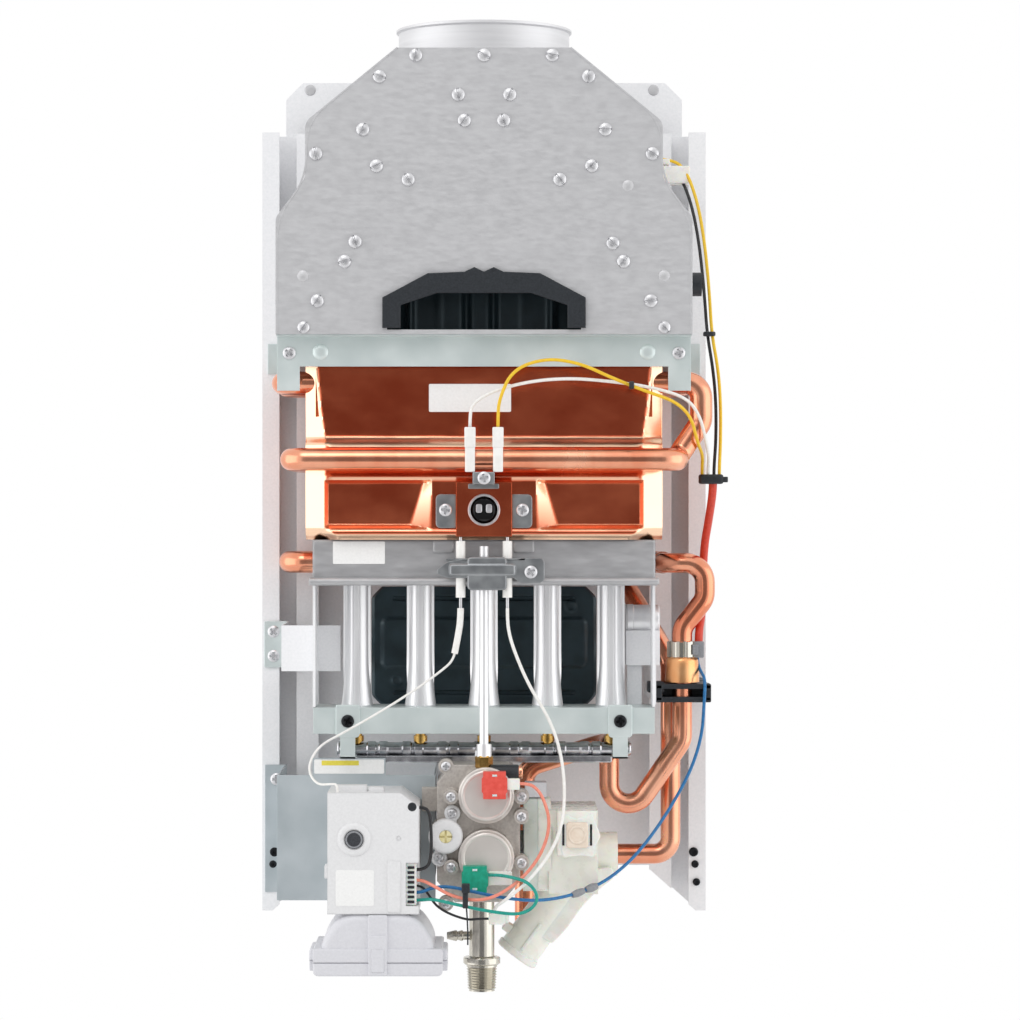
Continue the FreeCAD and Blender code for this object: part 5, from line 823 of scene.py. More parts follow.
# %% Screw head shape
def screw_head(radius, height, angle, crossed):
    """Dome: z = h sqrt(1 - 0.8 r^2), less grooves |across| < 0.13 R; shoulders fall straight down."""
    ring = np.concatenate([np.linspace(0, 0.97, 15), [1.0]])[:, None]
    turn = np.linspace(0, 2 * np.pi, 65)[None, :]
    a = ring * np.cos(turn - angle)
    b = ring * np.sin(turn - angle)
    groove = 1 - ramp(np.abs(a), 0.1, 0.17)
    if crossed:
        other = 1 - ramp(np.abs(b), 0.1, 0.17)
        groove = np.maximum(groove * (np.abs(b) < 0.62), other * (np.abs(a) < 0.62))
    top = height * (np.sqrt(1 - 0.8 * ring ** 2) - 0.5 * groove)
    top[-1] = 0.3 * height
    dome = np.stack([ring * np.cos(turn) * radius, top, ring * np.sin(turn) * radius], axis=-1)
    wall = dome[-1:] * [1, 0, 1]
    return np.concatenate([dome, wall, np.zeros((1, 65, 3))])


print("grid of one head:", screw_head(1, 1, 0, True).shape)


# %% [markdown]
# The heads' places aren't typed here. The CAD node holds all of them in one mesh, so its separate solids
# are found first: points that share an edge take the same label, until no label changes. Each solid's
# box then gives a head's place, width and height, and each head is turned by a different angle.

# %% Screw heads in their places
def solids_of(node):
    """Boxes (low, high) of a CAD node's separate solids: labels spread along edges until stable."""
    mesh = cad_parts[node].data
    points = np.empty(len(mesh.vertices) * 3)
    mesh.vertices.foreach_get("co", points)
    points = points.reshape(-1, 3)
    edges = np.empty(len(mesh.edges) * 2, int)
    mesh.edges.foreach_get("vertices", edges)
    _, same = np.unique(np.round(points, 6), axis=0, return_inverse=True)
    same = same.ravel()
    edges = same[edges.reshape(-1, 2)]
    label = np.arange(same.max() + 1)
    while True:
        low = np.minimum(label[edges[:, 0]], label[edges[:, 1]])
        before = label.copy()
        np.minimum.at(label, edges[:, 0], low)
        np.minimum.at(label, edges[:, 1], low)
        if (label == before).all():
            break
    owner = label[same]
    return [(points[owner == key].min(axis=0), points[owner == key].max(axis=0)) for key in np.unique(owner)]


# Hood screws lie above its foot and out past its seat; the heads on a small seat are smaller.
HOOD_FOOT, HOOD_SEAT = -155, 168
MANIFOLD_SCREW_Z, MANIFOLD_SEAT = -413, 142.2
SMALL_SEATS = (158, 163, 168)
SMALL_HEAD_R = 3.3
TURN_BETWEEN_HEADS = 2.4
bright, dark = [], []
for index, (low, high) in enumerate(solids_of("pan_screws")):
    middle = (low + high) / 2 / MM
    seat = -high[1] / MM
    on_hood = middle[2] > HOOD_FOOT and seat > HOOD_SEAT
    on_manifold = abs(seat - MANIFOLD_SEAT) < 1 and abs(middle[2] - MANIFOLD_SCREW_Z) < 3
    radius = (high[0] - low[0]) / 2 / MM + 0.3
    if min(abs(seat - small) for small in SMALL_SEATS) < 0.5:
        radius = SMALL_HEAD_R
    head = screw_head(radius, (high[1] - low[1]) / MM, index * TURN_BETWEEN_HEADS, not on_hood)
    shape = grid(head + np.array([middle[0], seat, middle[2]]))
    (dark if on_manifold else bright).append(shape)
bright += [grid(screw_head(4, 2.2, 0.6 * side, False) + np.array([side * 119, 170.8, -151.5]))
           for side in (-1, 1)]
piece("screw_heads", bright, "screw_steel", "zinc_passivated", "pan_screws")
piece("dark_screw_heads", dark, "blackened_screw", "zinc_passivated", "pan_screws")
print("screw heads:", len(bright), "bright,", len(dark), "dark")

# %% [markdown]
# ## Hood
# The hood's front plate is laid on a folded flange that shows as a thin bright line round it. Small
# round dimples were pressed from behind beside the screws and on the cross rail. They lie on the CAD
# sheets as shallow turned caps, so the sheets themselves stay as they are.

# %% Hood flange and dimples
HOOD_HALF = [(58, 33), (118, -16), (118, -53), (137.5, -79), (137.5, -156)]
softened = rounded([*HOOD_HALF, (-10, -156), (-10, 33)], [0, 16, 16, 16, 0, 0, 0], 6)
right_side = softened[softened[:, 0] > 57]
right_side = right_side[np.lexsort((right_side[:, 0], -right_side[:, 1]))]
flange = bar(stand(right_side - [0.9, 0], 170.2, 1), rect((-0.6, 0.6), (-0.8, 0.8)))
dimples = [turned([(0, 170), (4.2, 170), (3.6, 171), (2, 171.6), (0, 171.7)], spot, 1, 20)
           for spot in ((95, -58), (-119.5, -117.6), (118.8, -117.6))]
dimples += [turned([(0, 0.9), (4, 0.9), (3.4, 1.8), (0, 2.2)], (x, 25), 1, 20) for x in (-123, 120)]
piece("hood_flange_and_dimples", [flange, mirror(flange), *dimples], "galvanised_steel", "galvanised_sheet")
rail_cap = [(0, 161), (5.5, 161), (4.5, 162), (2.4, 162.5), (0, 162.6)]
rail_dimples = [turned(rail_cap, (side * 108.3, -167.3), 1, 20) for side in (-1, 1)]
piece("cross_rail_dimples", rail_dimples, "zinc_plated_steel", "zinc_passivated")
connector = [block((119, 142), (-47, -35), 1.5, (53, 69), 1.2),
             block((119, 128), (-34, -30), 1, (55, 67), 1)]
piece("hood_connector", connector, "milky_polyamide", "white_moulding")

# %% [markdown]
# Behind the opening hangs a baffle in the hood's shadow, coloured dark as painted shade. The CAD gives
# its roof, its back and its bars; a corrugated sheet, whose folds catch a little light, hangs in front of
# the bars.

# %% Draught baffle
BAFFLE_OUT = 125.8
FOLD_WIDTH = 2.6
FOLDS = ((-49.6, 3.2), (-11.8, -3.5), (6.4, -3.5), (45.6, 3.2), (-30, 0.8), (26, 0.8))
x, z = np.meshgrid(np.linspace(-88, 88, 265), np.linspace(-153, -71, 9))
folds = sum(height * np.exp(-((x - middle) / FOLD_WIDTH) ** 2) for middle, height in FOLDS)
# The corrugated sheet is dark with painted shade, as the baffle is.
piece("corrugated_baffle", [sheet(np.stack([x, BAFFLE_OUT + folds, z], axis=-1), (0, -1, 0))],
      "dark_coat_and_painted_shade", "dark_enamel")

# %% [markdown]
# ## Bare plates
# Labels are left bare: paper with rounded corners, a hair thicker than real so that its edge shows. A
# painted patch in the material would be quicker, but it would have no edge.

# %% Bare label plates
papers = [block((-36.6, 18), (-206.8, -188.2), 1, (151.6, 152.5), 0.1),
          block((-100.5, -65.9), (-307.9, -292.8), 0.8, (149.9, 150.3), 0.1),
          block((-97, -72), (-531, -507.5), 1.4, (189.9, 190.25), 0.1),
          block((-114, -67), (-449, -439.4), 1, (128.9, 129.4), 0.1)]
piece("bare_papers", papers, "label_paper", "white_moulding")
piece("yellow_strip", [block((-109, -84), (-443.4, -440.2), 0.5, (129.3, 129.6), 0.1)],
      "yellow_paper", "yellowish_nylon")

# %% [markdown]
# ## Gas valve
# The two solenoid covers are deep drawn aluminium with a rolled rim and a flat face, so a lathe profile
# gives their soft rims. Their connectors are flat polyester plugs with small pale contacts, and a white
# tongue carries each pair of leads.

# %% Solenoid covers and plugs
COVER_X, UPPER_Z, LOWER_Z = 1.5, -460.5, -501.5
cover_profile = [(0, 168), (18.4, 168), (18.6, 168.6), (18.4, 169.3), (17.9, 169.6), (17.3, 170.4),
                 (16.6, 171.8), (15.8, 172.3), (14.9, 172.1), (14.3, 171.6), (0, 171.6)]
covers = [turned(cover_profile, (COVER_X, z), 1, 64) for z in (UPPER_Z, LOWER_Z)]
piece("solenoid_covers", covers, "stamped_aluminium", "die_cast", "gas_valve_covers", sharp=25)


def plug(low, high, up, out):
    """A plug: a rectangle whose sides stand out by 0.9 mm, except in the fifth at each end."""
    step = (up[1] - up[0]) / 5
    corners = [(low, up[0]), (high, up[0]), (high, up[0] + step), (high + 0.9, up[0] + 1.3 * step),
               (high + 0.9, up[1] - 1.3 * step), (high, up[1] - step), (high, up[1]), (low, up[1]),
               (low, up[1] - step), (low - 0.9, up[1] - 1.3 * step), (low - 0.9, up[0] + 1.3 * step),
               (low, up[0] + step)]
    return prism(rounded(corners, 0.5), out, 1.0)


def contacts(centre, ups, out):
    """Small pale contact marks on a plug's face."""
    return [prism(rect((centre - 1.6, centre + 1.6), (up - 0.7, up + 0.7)), out) for up in ups]


piece("pilot_plug", [plug(-0.6, 14.4, (-462, -444), (171.6, 180))], "red_polyester", "red_plug",
      "valve_connectors")
piece("main_plug", [plug(-13.8, 1.9, (-523.5, -506), (171.6, 180))], "green_polyester", "red_plug",
      "valve_connectors")
marks = contacts(7, (-446.5, -459.5), (179.9, 180.2)) + contacts(-6, (-508.5, -521), (179.9, 180.2))
tongues = [block((15, 23.5), (-456, -448.6), 0.8, (173, 178.6), 0.8),
           block((2.6, 18.5), (-519, -510), 0.8, (171.8, 175.6), 0.8)]
piece("plug_tongues", marks + tongues, "milky_polyamide", "white_moulding", "valve_connectors")

# %% [markdown]
# Beside the upper cover a round black rubber damper with a copper ring lies across the valve.

# %% Damper
DAMPER = (163, -445.4)
damper = turned([(0, 4), (4.2, 4), (5, 4.8), (5, 22), (4.4, 23), (0, 23)], DAMPER, 0, 28)
piece("black_damper", [damper], "black_rubber", "black_moulding")
ring = turned([(0, 22.6), (4.2, 22.6), (4.6, 23.4), (4.6, 25), (4, 25.6), (3, 25.6), (3, 24.5), (0, 24.5)],
              DAMPER, 0, 28)
piece("damper_ring", [ring], "copper_tube", "copper")

# %% [markdown]
# The adjuster is a white moulded disc, domed a little, with two ears. A ring with a raised rim round
# the spindle lies on it.

# %% Adjuster
ADJUST = (-25.3, -487.6)
adjuster = turned([(4.3, 168.8), (4.3, 169.6), (5.4, 170.1), (8.5, 170), (10.4, 169.4), (11.4, 168),
                   (11.4, 160.2), (4.3, 160.2), (4.3, 168.8)], ADJUST, 1, 48)
ears, necks = [], []
for side in (-1, 1):
    x = ADJUST[0] + side * 4.3
    inner, outer = ADJUST[1] + side * 9, ADJUST[1] + side * 14
    ears.append(prism(circle((x, ADJUST[1] + side * 14.9), 5.4, 20), (160, 162.8), 0.8))
    neck = [(x - 3, inner), (x + 3, inner), (x + 3.4, outer), (x - 3.4, outer)]
    necks.append(prism(neck, (160, 162.4), 0.5))
piece("adjuster_disc", [adjuster, *ears, *necks], "white_abs", "white_moulding", "adjuster_housing")

# %% [markdown]
# ## Control box and battery box
# The control box keeps its CAD case, and the details are thin pieces on its face: the button's soft
# raised ring, a pad, two small ledges, a wire hole, and a white edge connector with dark pins in the
# side notch.

# %% Control box details
BUTTON = (-85, -487.5)
ring = turned([(6.15, 189), (6.15, 190.8), (6.8, 191.4), (8.6, 191.7), (10.2, 191.2), (11.2, 190.1),
               (11.2, 189), (6.15, 189)], BUTTON, 1, 48)
speck = turned([(1.1, 189.8), (1.1, 190.3), (1.6, 190.3), (1.6, 189.8), (1.1, 189.8)], (-55.9, -486.6), 1, 20)
details = [ring, block((-63.4, -54.5), (-535.5, -501.6), 1, (189.8, 191), 0.6),
           block((-104.6, -102), (-513.5, -505), 0.8, (172, 186), 0.6),
           block((-76, -66), (-457.5, -454.2), 0.6, (168, 176), 0.6), speck]
piece("box_details", details, "white_abs", "white_moulding")
hole = turned([(0, 189.6), (2.9, 189.6), (2.9, 190.1), (2.4, 190.25), (0, 190.1)], (-47, -466.2), 1, 24)
piece("box_wire_hole", [hole], "black_rubber", "black_moulding")
rim = turned([(4.5, 191.6), (4.5, 192.3), (5.0, 192.6), (5.6, 192.3), (5.8, 191.6), (4.5, 191.6)],
             BUTTON, 1, 40)
piece("button_rim", [rim], "mid_grey_abs", "grey_moulding", body="button")
header = block((-51.4, -44.2), (-530.8, -503.2), 0.6, (146, 187.6), 0.4)
piece("edge_connector", [header], "milky_polyamide", "white_moulding")
pins = [block((-50, -45.6), (z, z + 1.8), 0.3, (187.2, 188.2), 0.2)
        for z in np.arange(-529.4, -505, 3.2)]
piece("connector_pins", pins, "black_rubber", "black_moulding")

# %% [markdown]
# The battery box hangs under the control box. It is a domed moulding with soft edges, a rim with two
# lugs and a rib on its front, and its cavity holds two cells. Dome and rim are hollowed one by one,
# because a Boolean wants each shape closed by itself.

# %% Battery box
DOME_CUTS = [0, 0, 11, 12, 12, 11]
BATTERY_LOOKS = ("lilac_grey_abs", "grey_moulding", "battery_housing")
LID_LOOKS = ("lilac_grey_abs", "grey_moulding", "battery_lid")
dome = prism(rounded([(-106.3, -566), (-32.7, -566), (-32.7, -553), (-44.5, -536.6), (-94.5, -536.6),
                      (-106.3, -553)], DOME_CUTS, 6), (121, 191), 5, steps=5, soft_near=5)
flange = block((-112, -27), (-568, -559), [0, 0, 1.5, 1.5], (120.5, 192), 1.0, soft_near=1.0)
lugs = [block((low, low + 7), (-568, -560.5), [0, 0, 2, 2], (140, 178), 1.2)
        for low in (-115, -31)]
rib = block((-76, -63), (-566, -536.9), 1.5, (189.5, 192.4), 1.0)
cavity = prism(rounded([(-104, -574), (-35, -574), (-35, -555), (-45.5, -539), (-93.5, -539), (-104, -555)],
                       DOME_CUTS, 6), (123.5, 188.5))
hollowed(piece("battery_dome", [dome], *BATTERY_LOOKS), cavity)
hollowed(piece("battery_rim", [flange], *BATTERY_LOOKS), cavity)
piece("battery_lugs_and_rib", [*lugs, rib], *BATTERY_LOOKS)

# %% [markdown]
# The lid is a tray that swings down. The tray, its two end hooks and the latch ride on the lid's own
# body, so they stay together at every angle.

# %% Battery lid
tray = block((-112, -27), (-577, -568.2), [4, 4, 0, 0], (121, 191.6), 1.6, soft_near=1.6)
hooks = [block((low, low + 7.5), (-575.5, -568.6), [1, 1, 0, 0], (146, 174), 1)
         for low in (-115, -31.5)]
latch = [block((-75.6, -63.4), (-576, -550), [1, 1, 2, 2], (190.5, 193.4), 0.9),
         block((-73.6, -65.4), (-574, -559), 0.8, (193, 194.2), 0.6)]
hollowed(piece("battery_tray", [tray], *LID_LOOKS, body="lid"),
         block((-106, -33), (-575.4, -560), [2, 2, 0, 0], (123.5, 189)))
piece("tray_hooks_and_latch", [*hooks, *latch], *LID_LOOKS, body="lid")
# The gap between the control box and the battery box is a black strip: painted shade.
piece("battery_gap_shade", [block((-61, -48), (-537.6, -534.5), 0.8, (150, 185), 0.6)],
      "black_rubber", "black_moulding")

# %% [markdown]
# ## Water valve
# The selector boss is a rounded square with points at its sides, and its beige knob has two slots,
# drawn as black strips of painted shade, and a raised ring. The body flares into the slanted nozzle
# through a moulded fan.

# %% Water valve details
NOZZLE_TURN = 36
NOZZLE_ROOT = (56, 0, -528)
SELECTOR = (61.5, -486)
star = [(52.7, -472.2), (57, -474.2), (60.9, -476.1), (66.2, -474.2), (71.1, -471.4), (73.5, -478),
        (77.2, -487.5), (73.5, -494.5), (72.5, -501.3), (64.8, -500.3), (57, -500.8), (52.2, -501.8),
        (50.7, -495.5), (47.4, -488.5), (50.7, -480.9)]
fan = [(45.5, -520), (87, -514), (88.5, -521), (78, -529), (66, -541), (56, -556), (46, -566), (36, -560),
       (43, -540)]
piece("selector_boss", [prism(rounded(star, 1.6), (145, 168.4), 1.4)], "milky_polyamide", "natural_polyamide")
flare = prism(rounded(fan, [1, 3, 3, 8, 10, 10, 2, 2, 6], 5), (82, 106.6), 4, steps=4, soft_near=3)
bead = turned([(0, -58.6), (14.6, -58.6), (15.4, -57.8), (15.4, -54.4), (14.6, -53.6), (0, -53.6)],
              (0, 94), 2, 48)
slit = block((-1.2, 1.2), (-52, -30), 1, (106.4, 109), 0.8)
peg = block((-19, -13), (-49, -43), 1, (88, 100), 1)
along_nozzle = [tilted(shape, NOZZLE_TURN, NOZZLE_ROOT) for shape in (bead, slit, peg)]
piece("nozzle_fan", [flare, *along_nozzle], "milky_polyamide", "natural_polyamide")
knob = [block((54.3, 68.7), (-495, -478), 2.2, (168.6, 172.4), 1.0),
        turned([(4.6, 172), (4.6, 172.9), (5.1, 173.2), (5.9, 173.2), (6.3, 172.8), (6.3, 172), (4.6, 172)],
               SELECTOR, 1, 40)]
piece("selector_knob", knob, "beige_nylon", "yellowish_nylon", "flow_selector", body="selector")
# The slots are thin black strips: painted shade for the recesses beside the knob.
slots = [prism(rect((low, low + 1.5), (-493.5, -479.5)), (167.9, 168.54)) for low in (51.6, 69.9)]
piece("knob_slot_shade", slots, "black_rubber", "black_moulding")

# %% [markdown]
# ## Pipes
# The gas inlet ends in a tapered pipe thread under a collar, and a barbed test nipple stands out to the
# left. A thread this fine reads as rings, so it is a saw-toothed profile turned once.

# %% Gas inlet
INLET = (-1.5, GAS_OUT)
THREAD_TOP, THREAD_TURNS, PITCH = -579.6, 9, 1.81
CREST_R, ROOT_R, TAPER = 10.4, 9.3, 0.09
ridges = []
for step in range(THREAD_TURNS):
    low = THREAD_TOP - step * PITCH
    ridges += [(CREST_R - step * TAPER, low), (ROOT_R - step * TAPER, low - PITCH / 2)]
inlet = turned([(0, -532), (8.5, -532), (8.5, -572.4), (9.2, -573), (12, -573.2), (12.5, -574),
                (12.5, -577.2), (11.8, -578), (10.2, -578.4), *ridges, (8.8, -596), (6.6, -596),
                (6.4, -594.6), (6.4, -580), (0, -580)], INLET, 2, 64)
nipple = turned([(0, -4), (2.9, -4), (2.9, -14), (3.4, -14.2), (3.7, -15), (2.8, -18), (3.5, -18.2),
                 (3.7, -19), (2.7, -23.4), (2.3, -25), (1.4, -25), (1.3, -22), (0, -22)],
                (GAS_OUT, -559), 0, 32)
piece("gas_inlet_threaded", [inlet, nipple], "nickel_plate", "nickel_plate", "gas_inlet_pipe", sharp=40)

# %% [markdown]
# The limit thermostat is clipped to the hot pipe with a fluted spring clip. Below it the pipe is
# swollen and golden from brazing, and a black clamp with a slot holds both pipes to the rail.

# %% Thermostat clip, sleeve and clamp
HOT = (134.5, 103)
CLIP_STEPS, FLUTES, FLUTE_DEPTH = 96, 12, 0.45
fluted = np.sign(np.sin(np.linspace(0, 2 * np.pi, CLIP_STEPS + 1) * FLUTES + 0.01))
flutes = FLUTE_DEPTH * fluted * np.array([0, 1, 1, 0, 0])[:, None]
clip = [turned([(9.4, -372), (9.9, -371.6), (9.9, -361.4), (9.4, -361), (7.4, -361)], HOT, 2,
               CLIP_STEPS, flutes),
        turned([(7.4, -361), (7.4, -372), (9.4, -372)], HOT, 2, CLIP_STEPS)]
piece("thermostat_clip", clip, "nickel_plate", "nickel_plate", "limit_thermostat")
stat = [block((142, 149), (-372, -361), 1, (97.5, 109), 0.8),
        block((141, 145), (-370, -363), 0.6, (99, 111), 0.6)]
piece("thermostat_block", stat, "mid_grey_abs", "grey_moulding", "limit_thermostat")
sleeve = turned([(6.6, -371), (9.6, -371.6), (11, -374), (11.3, -380), (11.6, -386), (11.6, -388.6),
                 (6.6, -389)], HOT, 2, 48)
piece("brazed_sleeve", [sleeve], "golden_copper", "copper", sharp=60)
band = [block((116, 153.5), (-393, -389.5), 1, (98, 114), 1),
        block((116, 153.5), (-402, -398.3), 1, (98, 114), 1),
        block((116, 120.5), (-401, -390), 1, (98, 114), 1),
        block((148.5, 153.5), (-401, -390), 1, (98, 114), 1),
        block((110.5, 122), (-395.5, -388), 1.5, (100, 112), 1.4),
        block((116, 152.5), (-401.5, -389.5), 1, (73, 99), 1),
        block((143.5, 152.5), (-401.5, -389), 1, (31, 75), 1)]
piece("slotted_clamp", band, "black_nylon", "black_moulding", "pipe_clamp")

# %% [markdown]
# The chassis has a zinc end on the burner's left bracket, and round holes with dark clips near the
# rails' feet.

# %% Chassis details
piece("bracket_end", [block((-153.6, -137.2), (-382, -349.6), 1.5, (31, 31.9), 0.3)],
      "zinc_plated_steel", "zinc_passivated")
CLIPS = ((146.5, -511, 3.2), (147.5, -519.5, 2.6), (148.5, -532, 2.6), (-146.5, -511, 3.2),
         (-147.5, -519.5, 2.6))
clips = [turned([(0, 29.6), (r, 29.6), (r, 31.4), (r - 0.8, 32), (0, 31.6)], (x, z), 1, 24)
         for x, z, r in CLIPS]
piece("rail_clips", clips, "blackened_screw", "black_moulding")

# %% [markdown]
# The burner's two thin legs and the prop's roller catch the light from the side boxes. The legs wear
# white sleeves whose colour is a painted highlight for that light on their zinc, and the roller wears one
# of drawn steel. They are thin shapes over the CAD's own, since only their surface differs.

# %% Bright legs and roller
leg = prism(rect((112.6, 114.4), (-403.6, -322.4)), (111.4, 140.6))
# The white colour on the zinc legs is a painted highlight for the light that they catch.
piece("legs_painted_highlight", [leg, mirror(leg)], "powder_coated_steel", "galvanised_sheet")
roller = turned([(0, 96.5), (9.6, 96.5), (10.1, 97.2), (10.1, 101), (9.7, 101.6), (9.7, 118), (9.2, 118.6),
                 (0, 118.6)], (101.5, -346), 0, 48)
piece("prop_roller", [roller], "drawn_steel_tube", "stainless")

# %% [markdown]
# ## Leads
# Leads are stranded copper with smooth PVC or silicone insulation, so they carry one even colour and a
# thin bright line. The seven colours differ in nothing else, and one loop makes their finishes.

# %% Lead finishes
LEAD_COLOURS = {"yellow": ("EDBE1E", "F5CC30"), "white": ("EFEDE8", "F8F7F4"), "black": ("1C1C1F", "2A2A2D"),
                "red": ("CF3A26", "DD4A33"), "blue": ("17649C", "2277B2"), "coral": ("EE8872", "F59A86"),
                "teal": ("0D8F80", "17A594")}
for colour, pair in LEAD_COLOURS.items():
    finish(f"{colour}_insulation", pair, 2.0, (0.3, 0.42), 0.0, 0.01)
print("finishes:", len(materials))


# %% [markdown]
# Each lead is one smooth spline whose control points are the CAD route's corners. A spline bends evenly,
# as a lead held at its two ends does, where a tube along straight runs and arcs looks like bent wire.
# The order is set after the points are added, because Blender holds it to the number of points there
# are at that moment, and a spline of order 2 is straight runs.

# %% Lead builder
def lead(name, colour, radius, route, node):
    """A round bar on a NURBS spline of order 3 through its ends, with the route as control points."""
    curve = bpy.data.curves.new(name, "CURVE")
    curve.dimensions = "3D"
    curve.bevel_depth = radius * MM
    curve.bevel_resolution = 5
    curve.resolution_u = 8
    curve.render_resolution_u = 8
    curve.use_fill_caps = True
    spline = curve.splines.new("NURBS")
    spline.points.add(len(route) - 1)
    for point, (x, out, z) in zip(spline.points, route):
        point.co = (x * MM, -out * MM, z * MM, 1)
    spline.order_u = 3
    spline.use_endpoint_u = True
    curve.materials.append(materials[f"{colour}_insulation"])
    thing = add_object(name, curve)
    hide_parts(node)
    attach(thing, HEATER)
    print(name, len(route), "points")


# %% [markdown]
# Two leads rise from the sleeves above the sight glass, two come down from the connector at the hood's
# side, and all four meet in a tie. From there they run down in one red sleeve to the thermostat.

# %% Upper leads
lead("lead_yellow_igniter", "yellow", 1.1,
     [(9.2, 178, -217.5), (9.2, 178, -211), (9.8, 179.5, -199.7), (18.4, 182, -180), (40, 183, -172.3),
      (63, 182, -175.5), (84.1, 180, -185.3), (108, 174, -194.3), (127, 168, -200.5), (137.5, 163, -211),
      (141.5, 157, -227), (146.3, 138, -235), (146.8, 123, -243), (146.8, 123, -248)], "upper_leads")
lead("lead_white_flame", "white", 1.1,
     [(-9.2, 178, -217.5), (-9.2, 178, -211), (-8, 177, -202), (5.3, 176.2, -193.8), (30.2, 176.5, -187.2),
      (56.5, 177, -185.2), (81.6, 175, -187.1), (108.2, 169, -190.4), (133.9, 160, -197.1), (143, 157, -209),
      (147.5, 151, -225), (150.5, 136, -236), (150.7, 124, -243), (150.7, 124, -248)], "upper_leads")
lead("lead_black_hood", "black", 1.1,
     [(118.1, 60, -36), (126, 60, -36), (136, 62, -42), (143, 70, -62), (147, 88, -90), (149.5, 104, -125),
      (150.3, 120, -153.4), (154.2, 121, -176.4), (156.2, 122, -199.3), (156.2, 122, -225),
      (154.9, 121, -243), (154.9, 121, -248)], "upper_leads")
lead("lead_yellow_hood", "yellow", 1.1,
     [(118.1, 64, -30), (128, 64, -30), (138.5, 66, -36), (146.5, 76, -60), (150.5, 92, -90),
      (152.8, 106, -125), (153.2, 123, -153.6), (157.5, 123, -176.4), (159.2, 124, -199.3),
      (159.2, 124, -225), (158.4, 123, -243), (158.4, 123, -248)], "upper_leads")
lead("red_sleeve", "red", 2.8,
     [(154.2, 121, -254), (154.2, 121, -260), (152.5, 100, -280), (150, 88.5, -298), (148.8, 88, -336),
      (148.5, 90, -344), (145.9, 101, -354), (145.9, 101, -361)], "upper_leads")

# %% [markdown]
# The lower leads end in the control box: from the thermostat, the two solenoids, the two electrodes, the
# box's own rear and the small plug beside the gas inlet. Each hangs in the bow that the photograph shows.

# %% Lower leads
lead("lead_blue_thermostat", "blue", 1.1,
     [(145, 101, -372), (145, 101, -375.5), (146.5, 107, -381), (149.4, 117.2, -386), (148.4, 118, -403.5),
      (147.1, 117, -423.8), (140.3, 118, -446), (127.9, 122, -468.6), (113.4, 130, -489.4),
      (97.6, 138, -507.4), (78.5, 150, -520.8), (56.9, 163, -527.4), (36.9, 175, -529.4), (17, 184, -527.1),
      (-3.9, 186, -522.9), (-23.6, 186, -518.3), (-35, 184, -519.9), (-40.5, 181, -523), (-44.8, 181, -523)],
     "lower_leads")
lead("lead_coral_valve", "coral", 1.1,
     [(22.6, 176, -452), (27, 176, -452), (33, 176.5, -453.5), (39, 174, -461), (44.2, 171, -479.1),
      (37.6, 172, -500.1), (23, 182, -516.3), (2.6, 191.5, -527.7), (-19, 190, -525.8), (-34, 188, -517.5),
      (-40.5, 181, -515), (-44.8, 181, -515)], "lower_leads")
lead("lead_white_electrode", "white", 1.1,
     [(15.5, 161.4, -337), (15.5, 161.4, -342), (16, 163, -351), (19.2, 165, -363.2), (29.1, 162, -387.2),
      (42.4, 160, -408.5), (50.4, 160, -429.7), (53.5, 166, -453.7), (52, 176, -477.3), (44.7, 177, -496.9),
      (28.9, 184, -515.9), (14, 188, -527.5), (6.5, 184, -532.5), (6.5, 184, -537)], "lower_leads")
lead("lead_white_igniter", "white", 0.8,
     [(-19.5, 163, -367), (-20.5, 163.1, -371.8), (-29, 162.5, -379), (-45.7, 160, -391.3),
      (-69, 155, -406.1), (-92.4, 151, -419.6), (-110.4, 151, -429), (-117.4, 158, -443.1),
      (-110.8, 170, -453.4), (-99.8, 180, -452), (-96, 184, -452), (-96, 184, -457)], "lower_leads")
lead("sleeve_white_igniter", "white", 2.2,
     [(-15.5, 161.4, -337), (-15.5, 161.4, -341.5), (-16.3, 162.7, -351.3), (-19.5, 163, -367)],
     "lower_leads")
lead("lead_black_box", "black", 1.1,
     [(-42.5, 184, -467), (-38.5, 184, -467), (-35.5, 184, -471), (-34.5, 184.5, -484), (-34.5, 184, -499),
      (-37.5, 182, -508), (-44.8, 182, -508)], "lower_leads")
lead("lead_teal_valve", "teal", 1.1,
     [(1.6, 177, -512), (6.5, 177, -512), (15.5, 182, -512.3), (30.1, 189, -515.6), (36.6, 191, -527.1),
      (26.1, 192, -536.8), (5.2, 193, -534.6), (-17, 192, -530.1), (-34, 188, -526.5), (-40.5, 182, -528),
      (-44.8, 182, -528)], "lower_leads")
lead("lead_black_switch", "black", 0.8,
     [(3, 184, -540), (-3, 184, -540), (-12, 184, -541), (-30, 181, -534), (-37, 178.2, -524),
      (-41, 178, -519), (-44.8, 178, -519)], "lower_leads")

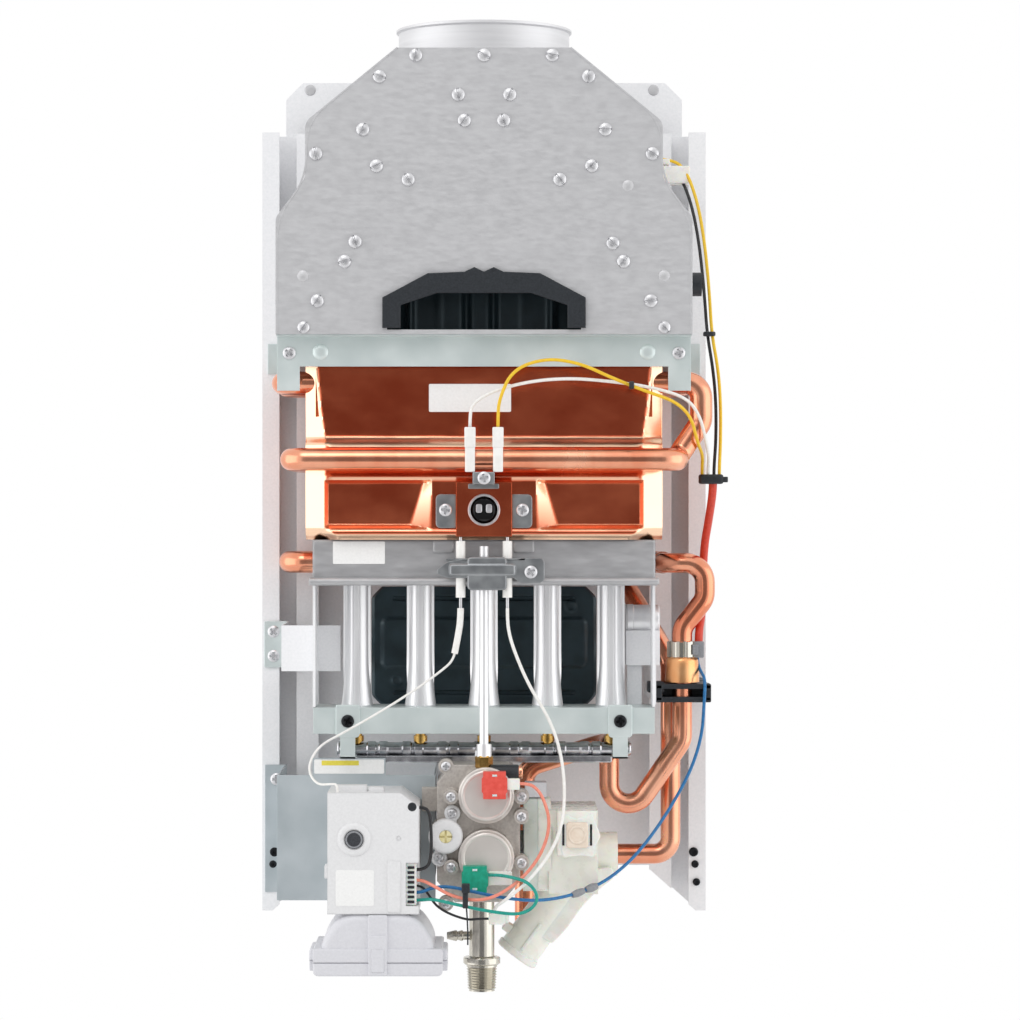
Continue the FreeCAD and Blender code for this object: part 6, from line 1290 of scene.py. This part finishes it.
# %% [markdown]
# Black nylon ties bundle the leads: a band, its square head, and on the lower one a long cut tail. The
# blue lead is joined by two crimped sleeves, and a small white plug ends two leads beside the gas inlet.

# %% Ties, splices and lead connectors
upper_ties = [block((144.5, 161), (117, 127.5), 3, (-254.5, -248), 1.4, 2, 1.4),
              block((158, 164), (121, 127), 1, (-253.4, -249.6), 0.8, 2, 0.8),
              block((172, 183), (-192.6, -187.4), 2.2, (95.4, 98.6), 0.8, 0, 0.8),
              block((147.6, 155.8), (117, 126), 2.6, (-155, -152), 0.8, 2, 0.8)]
piece("upper_ties", upper_ties, "black_nylon", "black_moulding", "upper_leads")
tail = [(-11.5, 194.4, -531), (-11, 194.6, -538), (-10.6, 193.4, -547), (-10.6, 192, -556)]
lower_ties = [block((183.6, 195), (-532.5, -519.5), 3.5, (-14, -10.4), 0.8, 0, 0.8),
              block((-14.6, -9.2), (-522, -516), 1, (191, 196.4), 1),
              bar(tail, rect((-0.5, 0.5), (-1.1, 1.1)))]
piece("lower_ties", lower_ties, "black_nylon", "black_moulding", "lower_leads")


SPLICE_END = 0.72


def splice(start, end, radius):
    """A crimped joint on a lead: radius times (end share + (1 - end share) times half a sine wave)."""
    t = np.linspace(0, 1, 9)[:, None]
    spine = np.array(start) + (np.array(end) - np.array(start)) * t
    shape, faces = bar(spine, circle((0, 0), radius, 16))
    around = np.repeat(spine, 17, axis=0)
    swell = SPLICE_END + (1 - SPLICE_END) * np.sin(np.pi * np.repeat(t, 17, axis=0))
    return around + (shape - around) * swell, faces


crimps = [splice((75, 152.4, -521.8), (67.6, 156.6, -524.1), 2.8),
          splice((66.2, 157.4, -524.5), (58.4, 162.2, -527), 2.6)]
piece("splices", crimps, "mid_grey_abs", "black_moulding", "lower_leads")
plug_end = [block((3, 14), (-543.5, -536.5), 1, (180, 188), 1),
            block((13, 16.5), (-542.4, -537.6), 0.8, (181.4, 186.6), 0.8)]
piece("lead_end_plug", plug_end, "milky_polyamide", "white_moulding", "lower_leads")
